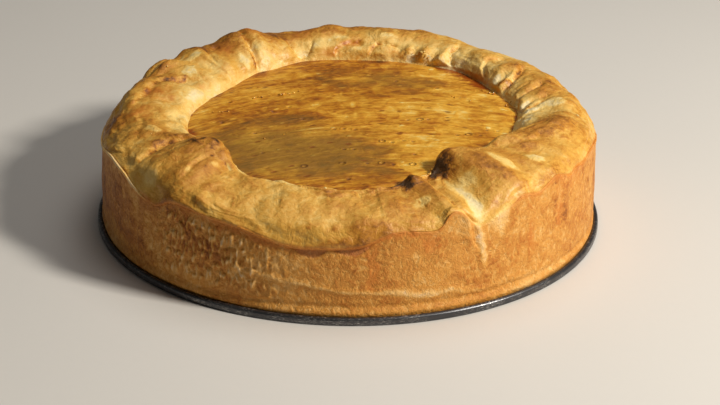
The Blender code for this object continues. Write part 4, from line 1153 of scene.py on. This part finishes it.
def make_tin(material):
    """Base disc of the tin, turned: flat underside with a rounded foot, a rolled edge that is a little
    out of round, and the floor that the dough stands on."""
    angle = round_angles(TIN_COLUMNS)
    half = TIN_EDGE_WIDTH / 2
    middle = TIN_RADIUS - half
    outline = [(TIN_RADIUS - TIN_FOOT_ROUND + TIN_FOOT_ROUND * math.cos(a),
                TIN_FOOT_ROUND + TIN_FOOT_ROUND * math.sin(a)) for a in np.radians(np.linspace(-90, 0, 5))]
    outline += [(TIN_RADIUS, z) for z in np.linspace(TIN_FOOT_ROUND, TIN_EDGE_HEIGHT - half, 4)[1:-1]]
    outline += [(middle + half * math.cos(a), TIN_EDGE_HEIGHT - half + half * math.sin(a))
                for a in np.radians(np.linspace(0, 180, 17))]
    outline += [(middle - half, TIN_FLOOR + 0.2), (middle - half - 0.2, TIN_FLOOR)]
    shifts = (np.random.default_rng(3).uniform(0, 6), 0)
    wobble = sum(
        most * np.sin(count * np.radians(angle) + shift) for (count, most), shift in zip(TIN_WOBBLE, shifts)
    )
    slack = sum(most for _, most in TIN_WOBBLE)
    rings = [ring_points(angle, r - slack + wobble * (z > TIN_FOOT_ROUND), z) for r, z in outline]
    return make_piece("tin_disc", material, *capped(np.stack(rings, 1), 0, TIN_FLOOR))


# Materials

def tone(red, green, blue):
    """A screen colour, 0 to 255, as the light that a shader works with: the screen's curve undone, which
    is a straight line near black and a power of 2.4 above it."""
    share = np.array([red, green, blue]) / 255
    return tuple(np.where(share <= 0.04045, share / 12.92, ((share + 0.055) / 1.055) ** 2.4).tolist())


class Wire:
    """An output of a shader node. Arithmetic on it adds Math nodes, so 1 - mask works as mask * 2 does."""

    def __init__(self, paint, socket):
        self.paint = paint
        self.socket = socket

    def other(self, name):
        """Another output of the same node."""
        return Wire(self.paint, self.socket.node.outputs[name])

    def _math(self, operation, first, second):
        """A Math node on two values, either of which may be a number."""
        return self.paint.node("ShaderNodeMath", {"operation": operation}, [first, second])

    def __add__(self, value):
        return self._math("ADD", self, value)

    def __sub__(self, value):
        return self._math("SUBTRACT", self, value)

    def __rsub__(self, value):
        return self._math("SUBTRACT", value, self)

    def __mul__(self, value):
        return self._math("MULTIPLY", self, value)

    __radd__ = __add__
    __rmul__ = __mul__

    def rise(self, low, high):
        """A smooth step from 0 at low to 1 at high."""
        sockets = {"Value": self, "From Min": low, "From Max": high}
        return self.paint.node("ShaderNodeMapRange", {"interpolation_type": "SMOOTHSTEP"}, sockets)


class Paint:
    """A new material whose nodes are written as expressions."""

    def __init__(self, name):
        self.material = bpy.data.materials.new(name)
        self.material.use_nodes = True
        self.tree = self.material.node_tree
        self.tree.nodes.clear()

    def node(self, kind, settings=None, sockets=None, output=0):
        """Adds a node: its settings first, a ramp's stops among them, then its sockets' values or links."""
        made = self.tree.nodes.new(kind)
        count = len(self.tree.nodes)
        made.location = (200 * (count // 8), -180 * (count % 8))
        for name, value in (settings or {}).items():
            if name == "stops":
                ramp = made.color_ramp.elements
                for spare in list(ramp)[1:]:
                    ramp.remove(spare)
                ramp[0].position, ramp[0].color = value[0][0], (*value[0][1], 1)
                for position, colour in value[1:]:
                    ramp.new(position).color = (*colour, 1)
            else:
                setattr(made, name, value)
        for key, value in sockets.items() if isinstance(sockets, dict) else enumerate(sockets or ()):
            if isinstance(value, Wire):
                self.tree.links.new(value.socket, made.inputs[key])
            elif made.inputs[key].type == "RGBA":
                made.inputs[key].default_value = (*value[:3], 1)
            else:
                made.inputs[key].default_value = value
        return Wire(self, made.outputs[output])

    def place(self):
        """The point on the object, in metres."""
        return self.node("ShaderNodeTexCoord", output="Object")

    def mask(self, name, output="Fac"):
        """A number that the mesh carries at its points, or a vector with the output of that name."""
        return self.node("ShaderNodeAttribute", {"attribute_name": name}, output=output)

    def stretch(self, vector, *scale):
        """The vector with each part multiplied."""
        return self.node("ShaderNodeVectorMath", {"operation": "MULTIPLY"}, [vector, scale])

    def noise(self, vector, cell, detail=3.0, roughness=0.55, distortion=0.0):
        """Noise from 0 to 1 whose lumps are about a cell across, in millimetres, on a vector in metres."""
        sockets = {"Vector": vector, "Scale": 1 / (cell * MM), "Detail": detail, "Roughness": roughness,
                   "Distortion": distortion}
        return self.node("ShaderNodeTexNoise", None, sockets)

    def swing(self, vector, cell, detail=3.0, roughness=0.55, distortion=0.0):
        """The same noise from -0.5 to 0.5."""
        return self.noise(vector, cell, detail, roughness, distortion) - 0.5

    def mix(self, amount, first, second, mode="MIX"):
        """Colours mixed by an amount."""
        settings = {"data_type": "RGBA", "blend_type": mode, "clamp_factor": True}
        return self.node("ShaderNodeMix", settings, {0: amount, 6: first, 7: second}, output=2)

    def shade(self, colour, amount):
        """The colour made lighter or darker: it is multiplied by the amount, which is 1 for no change."""
        grey = self.node("ShaderNodeCombineColor", None, [amount, amount, amount])
        return self.mix(1.0, colour, grey, "MULTIPLY")

    def ramp(self, amount, *stops):
        """Colours along a scale: stops are (place, colour) from 0 to 1."""
        return self.node("ShaderNodeValToRGB", {"stops": stops}, [amount], "Color")

    def finish(self, colour, roughness, height, **constants):
        """Surface of the material: colour, roughness, a height in millimetres for the bump, and the rest
        by name with _ for a space. Returns the material."""
        raised = {"Strength": 1.0, "Distance": MM, "Height": height}
        normal = self.node("ShaderNodeBump", None, raised, "Normal")
        sockets = {"Base Color": colour, "Roughness": roughness, "Normal": normal}
        sockets.update({name.replace("_", " "): value for name, value in constants.items()})
        shader = self.node("ShaderNodeBsdfPrincipled", None, sockets, "BSDF")
        out = self.tree.nodes.new("ShaderNodeOutputMaterial")
        self.tree.links.new(shader.socket, out.inputs["Surface"])
        return self.material


def dough_material(name="baked_dough"):
    """Baked dough, coloured by how well it baked: cream where it tore or lay covered, through gold, to
    brown on peaks, and to dark brown in gaps, where that is painted shade. Patches, flecks and fine grain
    shift that everywhere; the folded edge is yellower than the wall that the tin browned, most of all on
    its slope to the lid, which is partly paler dough and partly painted light. The blisters' tops are
    lighter as painted highlights."""
    look = bpy.context.scene.pie_dough
    paint = Paint(name)
    place = paint.place()
    lay = paint.mask("lay", "Vector")
    up = paint.node("ShaderNodeSeparateXYZ", None, [lay], "Z") * (1 / MM)
    fold = paint.mask("fold")
    # inner is the fold's slope to the lid, made lighter: partly paler dough and partly painted light.
    inner = up.rise(70, 82)
    high = paint.mask("high") - 0.5
    patches = paint.swing(place, 45, 3, 0.5, 0.6)
    blotches = paint.swing(place, 13, 3, 0.6, 1.0)
    mottle = paint.swing(place, 5.0, 3, 0.6, 0.8)
    grain = paint.swing(place, 1.6, 3, 0.65, 0.8)
    fibres = paint.swing(paint.stretch(lay, 0.35, 0.35, 1.0), 3.0, 3, 0.6, 1.2)
    flecks = paint.noise(paint.stretch(lay, 1.0, 1.0, 0.7), 2.7, 2, 0.6, 1.4).rise(0.50, 0.66)
    scorched = (paint.noise(place, 8.5, 4, 0.65, 1.2) + high * 0.5).rise(0.56, 0.72)
    uneven = mottle * 0.9 + grain * 0.6
    browned = (paint.mask("browned") + blotches * 0.9 + uneven).rise(0.10, 1.30)
    pale = (paint.mask("pale") + blotches * 0.7 + uneven * 1.2).rise(0.32, 0.85)
    crease = (paint.mask("crease") + blotches * 0.8 + uneven * 0.8).rise(0.15, 1.0)
    # gap paints the shade in the pleats' gaps and in the cavities as dark brown.
    gap = (paint.mask("gap") + uneven * 0.7 + fibres * 0.9 + blotches * 0.4).rise(0.16, 0.95)
    bake = 0.49 + patches * (0.40 + fold * 0.26) + blotches * 0.42 + mottle * 0.35 + grain * 0.38
    bake = bake + high * (fold * 0.20)
    bake = bake - flecks * (1 - fold) * 0.13 + scorched * fold * 0.09 + fibres * fold * 0.22
    # Painted highlights: the blisters' tops are lighter, as where they catch the light.
    bake = bake - (paint.mask("blister") + grain * 0.4).rise(0.10, 0.90) * 0.36
    bake = bake + browned * 0.25 - pale * 0.36 + gap * 0.42 - inner * 0.24
    colour = paint.ramp(bake, (0, look.cream), (0.22, look.straw), (0.45, look.gold), (0.64, look.amber),
                        (0.82, look.brown), (1, look.dark))
    colour = paint.mix(1 - fold, colour, look.tinned, "MULTIPLY")
    # Painted shade under the overhanging fold, in the hollows below the crease.
    colour = paint.mix(paint.mask("hollow") * 0.65, colour, look.hollow)
    colour = paint.mix(crease * 0.56, colour, look.rust)
    roughness = 0.60 - fold * 0.10 - inner * 0.02 + pale * 0.10 + mottle * 0.35 + grain * 0.25
    height = grain * (0.60 - fold * 0.32) + mottle * (0.95 - fold * 0.25) - flecks * (1 - fold) * 0.12
    height = height + fibres * fold * 0.18 + blotches * fold * 0.9 - crease * 0.25
    coat = fold * 0.08 + inner * 0.05
    return paint.finish(
        colour, roughness, height, Coat_Weight=coat, Coat_Roughness=0.30, Specular_IOR_Level=0.4
    )


def lid_material():
    """Egg-washed lid: fine golden and orange-brown streaks along the brush strokes, a duller olive film in
    patches, scattered dark dashes, cream lines where the brush missed and small painted glints, brown rings
    round the pricks, and amber pools at the edge, which also paint the fold's shadow there. Painted light
    makes the lid lighter towards the right, the front and the left edge."""
    look = bpy.context.scene.pie_lid
    paint = Paint("egg_washed_lid")
    place = paint.place()
    parts = paint.node("ShaderNodeSeparateXYZ", None, [place])
    x, y = parts.other("X"), parts.other("Y")
    across = y - x * STROKE_SLOPE + x * x * (STROKE_BEND / MM)
    stroke = paint.node("ShaderNodeCombineXYZ", None, [x * 0.26, across, 0.0])
    broad = paint.swing(paint.stretch(stroke, 1.5, 1.0, 1.0), 9.5, 3, 0.5, 0.8)
    streaks = paint.swing(stroke, 2.8, 3, 0.6, 0.6)
    hairs = paint.swing(stroke, 1.1, 2, 0.6, 0.3)
    patches = paint.swing(place, 34, 3, 0.5, 0.6)
    mottle = paint.swing(place, 5.5, 4, 0.6, 0.8)
    uneven = streaks * 0.9 + mottle * 0.9
    cream = (paint.mask("cream") + uneven).rise(0.25, 0.90)
    prick = (paint.mask("prick") + mottle * 0.6).rise(0.25, 0.80)
    pool = (paint.mask("pool") + mottle * 0.8 + streaks * 0.8).rise(0.20, 0.85)
    dash_places = {"Vector": paint.stretch(stroke, 2.4, 1.0, 1.0), "Scale": 1 / (5.2 * MM)}
    cells = paint.node("ShaderNodeTexVoronoi", None, dash_places, "Distance")
    chosen = paint.node("ShaderNodeSeparateColor", None, [cells.other("Color")])
    dashes = (0.29 - cells + hairs * 0.50).rise(0.0, 0.22) * (chosen - 0.44).rise(0.0, 0.30)
    # Painted highlights: small glints that lighten the lid's colour.
    glints = (0.20 - cells + hairs * 0.30).rise(0.0, 0.10) * (0.20 - chosen).rise(0.0, 0.10)
    film = (patches * 1.6 + broad * 1.2 + paint.mask("film")).rise(0.10, 1.10)
    # Painted light: the lid is lighter towards the right, the front and the left edge.
    glow = (paint.mask("glow") + patches * 0.8 + broad * 0.8).rise(0.0, 1.1)
    bake = 0.56 + broad * 0.80 + streaks * 0.66 + hairs * 0.54 + patches * 1.02 + mottle * 0.74
    bake = bake + pool * 0.26 - cream * 0.40 - glints * 0.40 - glow * 0.14 + paint.mask("rim") * 0.06
    colour = paint.ramp(bake, (0, look.cream), (0.24, look.yellow), (0.48, look.gold), (0.66, look.orange),
                        (0.84, look.brown), (1, look.dark))
    colour = paint.mix(film * 0.72, colour, look.olive)
    # Amber pools, which also paint the fold's shadow along the lid's edge.
    colour = paint.mix(pool * 0.85, colour, look.amber)
    colour = paint.mix(dashes * 0.8, colour, look.brown)
    colour = paint.mix(prick * 0.72, colour, look.dark)
    roughness = 0.44 + mottle * 0.40 + streaks * 0.35 - pool * 0.16 + film * 0.08
    height = hairs * 0.12 + streaks * 0.30 + mottle * 0.50 - dashes * 0.15 + glints * 0.2
    coat = 0.04 + pool * 0.35
    return paint.finish(
        colour, roughness, height, Coat_Weight=coat, Coat_Roughness=0.18, Specular_IOR_Level=0.3
    )


def wash_material():
    """Set egg wash: clear amber bubbles."""
    look = bpy.context.scene.pie_lid
    paint = Paint("set_egg_wash")
    mottle = paint.noise(paint.place(), 1.2, 2)
    colour = paint.mix(mottle.rise(0.35, 0.7), look.yellow, look.amber)
    return paint.finish(colour, 0.14 + mottle * 0.12, mottle * 0.04, Coat_Weight=0.8, Coat_Roughness=0.05)


def tin_material():
    """Dark coated steel, worn brighter along fine scratches, with baked-on marks."""
    look = bpy.context.scene.pie_tin
    paint = Paint("coated_tin")
    place = paint.place()
    marks = paint.noise(place, 12, 4, 0.6)
    scratches = paint.noise(paint.stretch(place, 1.0, 1.0, 6.0), 1.4, 3, 0.6)
    worn = scratches.rise(0.50, 0.68) * marks.rise(0.38, 0.58)
    colour = paint.mix(worn * 0.7, look.coat, look.worn)
    colour = paint.mix(marks.rise(0.60, 0.74) * 0.5, colour, look.baked)
    roughness = 0.24 + marks * 0.22 - worn * 0.08
    return paint.finish(colour, roughness, scratches * 0.05, Metallic=0.75)


def floor_material(colour):
    """Pale matte paper with faint clouds and specks."""
    paint = Paint("pale_floor")
    place = paint.place()
    cloud = paint.noise(place, 250, 3)
    speck = paint.noise(place, 4, 3)
    shown = paint.shade(colour, 0.97 + cloud * 0.04 + speck * 0.02)
    return paint.finish(shown, 0.8 + speck * 0.1, speck * 0.03)


# What a user would change

def colour_setting(name, description, *screen):
    """A colour, given as its screen values from 0 to 255."""
    return bpy.props.FloatVectorProperty(
        name=name, description=description, subtype="COLOR", size=3, min=0, max=1, default=tone(*screen)
    )


def length_setting(name, description, default, most):
    """A small length, given in millimetres."""
    return bpy.props.FloatProperty(
        name=name, description=description, default=default * MM, min=0, max=most * MM, precision=5,
        subtype="DISTANCE", unit="LENGTH"
    )


def power_setting(name, description, default):
    """A light's power in watts."""
    return bpy.props.FloatProperty(
        name=name, description=description, default=default, min=0, max=200, unit="POWER"
    )


class DoughLook(bpy.types.PropertyGroup):
    """Finish of the wall, the folded rim and the flakes."""

    cream: colour_setting("Cream", "Unbaked dough where it tore or lay covered", 234, 212, 160)
    straw: colour_setting("Straw", "Lightly baked dough", 236, 199, 116)
    gold: colour_setting("Gold", "Main colour of the dough", 216, 162, 68)
    amber: colour_setting("Amber", "Well baked dough", 188, 124, 38)
    brown: colour_setting("Brown", "Browned peaks and patches", 138, 84, 22)
    # Dark brown also paints the shade in gaps and cavities, and crease brown the shadow at the fold's foot by
    # the lid.
    dark: colour_setting("Dark brown", "Gaps and the darkest spots", 66, 40, 6)
    rust: colour_setting("Crease brown", "Crease line and deeper baked places", 204, 118, 38)
    tinned: colour_setting("Tin tint", "Cast of the wall that the tin browned", 250, 232, 234)
    # Hollow brown is the painted shade under the overhanging fold.
    hollow: colour_setting("Hollow brown", "Hollows under the crease", 168, 96, 52)
    lumps: length_setting("Lumps", "Height of the soft lumps on the fold", 1.0, 3.0)
    grain_height: length_setting("Grain", "Height of the fine grain", 0.06, 0.5)
    blister_height: length_setting("Blisters", "Height of the upright blisters on the wall", 1.4, 2.0)


class LidLook(bpy.types.PropertyGroup):
    """Finish of the lid and of the egg wash on it."""

    # Cream also paints the lid's small glints.
    cream: colour_setting("Cream", "Streaks that the wash missed", 240, 212, 130)
    yellow: colour_setting("Yellow", "Lightly baked wash", 230, 174, 62)
    gold: colour_setting("Gold", "Main colour of the wash", 200, 136, 36)
    orange: colour_setting("Orange", "Browner strokes", 168, 98, 18)
    brown: colour_setting("Brown", "Dashes and browned streaks", 124, 64, 14)
    dark: colour_setting("Dark brown", "Pricks and the darkest spots", 72, 34, 10)
    olive: colour_setting("Olive", "Duller film in patches", 138, 104, 38)
    # Amber also paints the fold's shadow along the lid's edge.
    amber: colour_setting("Amber", "Pools at the edge", 150, 66, 12)
    stroke_depth: length_setting("Stroke depth", "Depth of the brush furrows", 0.12, 1.0)
    prick_depth: length_setting("Prick depth", "Depth of the fork pricks", 0.6, 2.0)


class TinLook(bpy.types.PropertyGroup):
    """Finish of the tin's base."""

    coat: colour_setting("Coating", "Dark coating", 78, 78, 81)
    worn: colour_setting("Worn", "Worn metal", 196, 194, 190)
    baked: colour_setting("Baked-on", "Baked-on marks", 44, 36, 30)


class StageLook(bpy.types.PropertyGroup):
    """Camera, floor and lights."""

    lens: bpy.props.FloatProperty(
        name="Lens", description="Focal length", default=100.0, min=20, max=300, unit="CAMERA"
    )
    floor: colour_setting("Floor", "Pale floor", 214, 210, 204)
    key: power_setting("Key light", "Strength of the soft light from the right", 22.6)
    top: power_setting("Top light", "Strength of the wide soft light overhead", 7.5)
    room: bpy.props.FloatProperty(
        name="Room light", description="Strength of the even light all round", default=0.038, min=0, max=3
    )


# Stage

def aim(at, forward, roll=0.0):
    """Matrix of a camera or light that looks along forward, rolled clockwise by an angle in degrees."""
    turned = Vector(forward).to_track_quat("-Z", "Y").to_matrix().to_4x4()
    return Matrix.Translation(at) @ turned @ Matrix.Rotation(math.radians(roll), 4, "Z")


def make_camera(focal_length):
    """Camera at the photograph's distance and angle."""
    camera = bpy.data.objects.new("camera", bpy.data.cameras.new("camera"))
    camera.data.sensor_width = 36.0
    camera.data.lens = focal_length
    camera.data.clip_start = 0.01
    camera.matrix_world = aim(CAMERA_AT, CAMERA_FORWARD, CAMERA_ROLL)
    bpy.context.scene.collection.objects.link(camera)
    bpy.context.scene.camera = camera


def make_light(name, power, angle, elevation, distance, size, colour):
    """Square soft light aimed at the pie's middle."""
    light = bpy.data.objects.new(name, bpy.data.lights.new(name, "AREA"))
    light.data.size = size
    light.data.energy = power
    light.data.color = colour
    turn, rise = math.radians(angle), math.radians(elevation)
    away = Vector((math.cos(rise) * math.cos(turn), math.cos(rise) * math.sin(turn), math.sin(rise)))
    light.matrix_world = aim(LIGHTS_AIM + away * distance, -away)
    bpy.context.scene.collection.objects.link(light)


def make_floor(material):
    """Flat round floor, as a grid of rings that grow closer towards the pie, closed by a fan."""
    angle = round_angles(FLOOR_COLUMNS)
    radii = np.geomspace(FLOOR_REACH, FLOOR_INNER_RING, FLOOR_ROWS) / MM
    rings = np.stack([ring_points(angle, radius, 0.0) for radius in radii], 1)
    points = np.concatenate([by_rows(rings), [(0, 0, 0)]])
    centre = FLOOR_ROWS * FLOOR_COLUMNS
    inner = np.arange(centre - FLOOR_COLUMNS, centre)
    quads = grid_faces(FLOOR_COLUMNS, FLOOR_ROWS)
    make_piece("floor", material, points, quads, [(inner, centre)])


# Operators

class PIE_OT_stage(bpy.types.Operator):
    """Camera, floor, lights and room"""

    bl_idname = "pie.stage"
    bl_label = "Stage"

    def execute(self, context):
        look = context.scene.pie_stage
        make_camera(look.lens)
        make_floor(floor_material(look.floor))
        for name, values in LIGHTS.items():
            make_light(name, getattr(look, name), *values)
        world = bpy.data.worlds.new("room")
        world.use_nodes = True
        room = world.node_tree.nodes["Background"].inputs
        room["Color"].default_value = ROOM_COLOUR
        room["Strength"].default_value = look.room
        context.scene.world = world
        context.scene.view_settings.view_transform = "Standard"
        return {"FINISHED"}


class PIE_OT_tin(bpy.types.Operator):
    """Base disc of the tin"""

    bl_idname = "pie.tin"
    bl_label = "Tin base"

    def execute(self, context):
        settle(make_tin(tin_material()), "tin", "tin_base")
        return {"FINISHED"}


class PIE_OT_crust(bpy.types.Operator):
    """Wall and folded rim, which together stand for the crust"""

    bl_idname = "pie.crust"
    bl_label = "Wall and folded rim"

    def execute(self, context):
        material = dough_material()
        settle(make_wall(material), "crust", "crust")
        settle(make_fold(material), "crust", "crust")
        return {"FINISHED"}


class PIE_OT_lid(bpy.types.Operator):
    """Egg-washed lid with brush strokes and fork pricks"""

    bl_idname = "pie.lid"
    bl_label = "Glazed lid"

    def execute(self, context):
        settle(make_lid(lid_material()), "lid", "lid")
        return {"FINISHED"}


class PIE_OT_bits(bpy.types.Operator):
    """Bubbles in the wash, and flakes on the folds"""

    bl_idname = "pie.bits"
    bl_label = "Bubbles and flakes"

    def execute(self, context):
        settle(make_bubbles(wash_material()), "lid")
        settle(make_flakes(dough_material("flake_dough")), "crust")
        return {"FINISHED"}


OPERATORS = (PIE_OT_stage, PIE_OT_tin, PIE_OT_crust, PIE_OT_lid, PIE_OT_bits)
LOOKS = {"pie_stage": StageLook, "pie_tin": TinLook, "pie_dough": DoughLook, "pie_lid": LidLook}


class PIE_PT_panel(bpy.types.Panel):
    """Pieces of the pie and their finishes"""

    bl_label = "Pizza rustica"
    bl_space_type = "VIEW_3D"
    bl_region_type = "UI"
    bl_category = "Pie"

    def draw(self, context):
        for operator in OPERATORS:
            self.layout.operator(operator.bl_idname)
        for label, look in LOOKS.items():
            box = self.layout.box()
            for name in look.__annotations__:
                box.prop(getattr(context.scene, label), name)


CLASSES = (*LOOKS.values(), *OPERATORS, PIE_PT_panel)


def register():
    """Makes the classes known to Blender, and gives every scene its settings."""
    for made in CLASSES:
        bpy.utils.register_class(made)
    for label, look in LOOKS.items():
        setattr(bpy.types.Scene, label, bpy.props.PointerProperty(type=look))


def unregister():
    """Takes the settings and the classes away again."""
    for label in LOOKS:
        delattr(bpy.types.Scene, label)
    for made in reversed(CLASSES):
        bpy.utils.unregister_class(made)


def main():
    """Registers the add-on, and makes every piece."""
    register()
    bpy.ops.pie.stage()
    bpy.ops.pie.tin()
    bpy.ops.pie.crust()
    bpy.ops.pie.lid()
    bpy.ops.pie.bits()


if __name__ == "__main__":
    main()
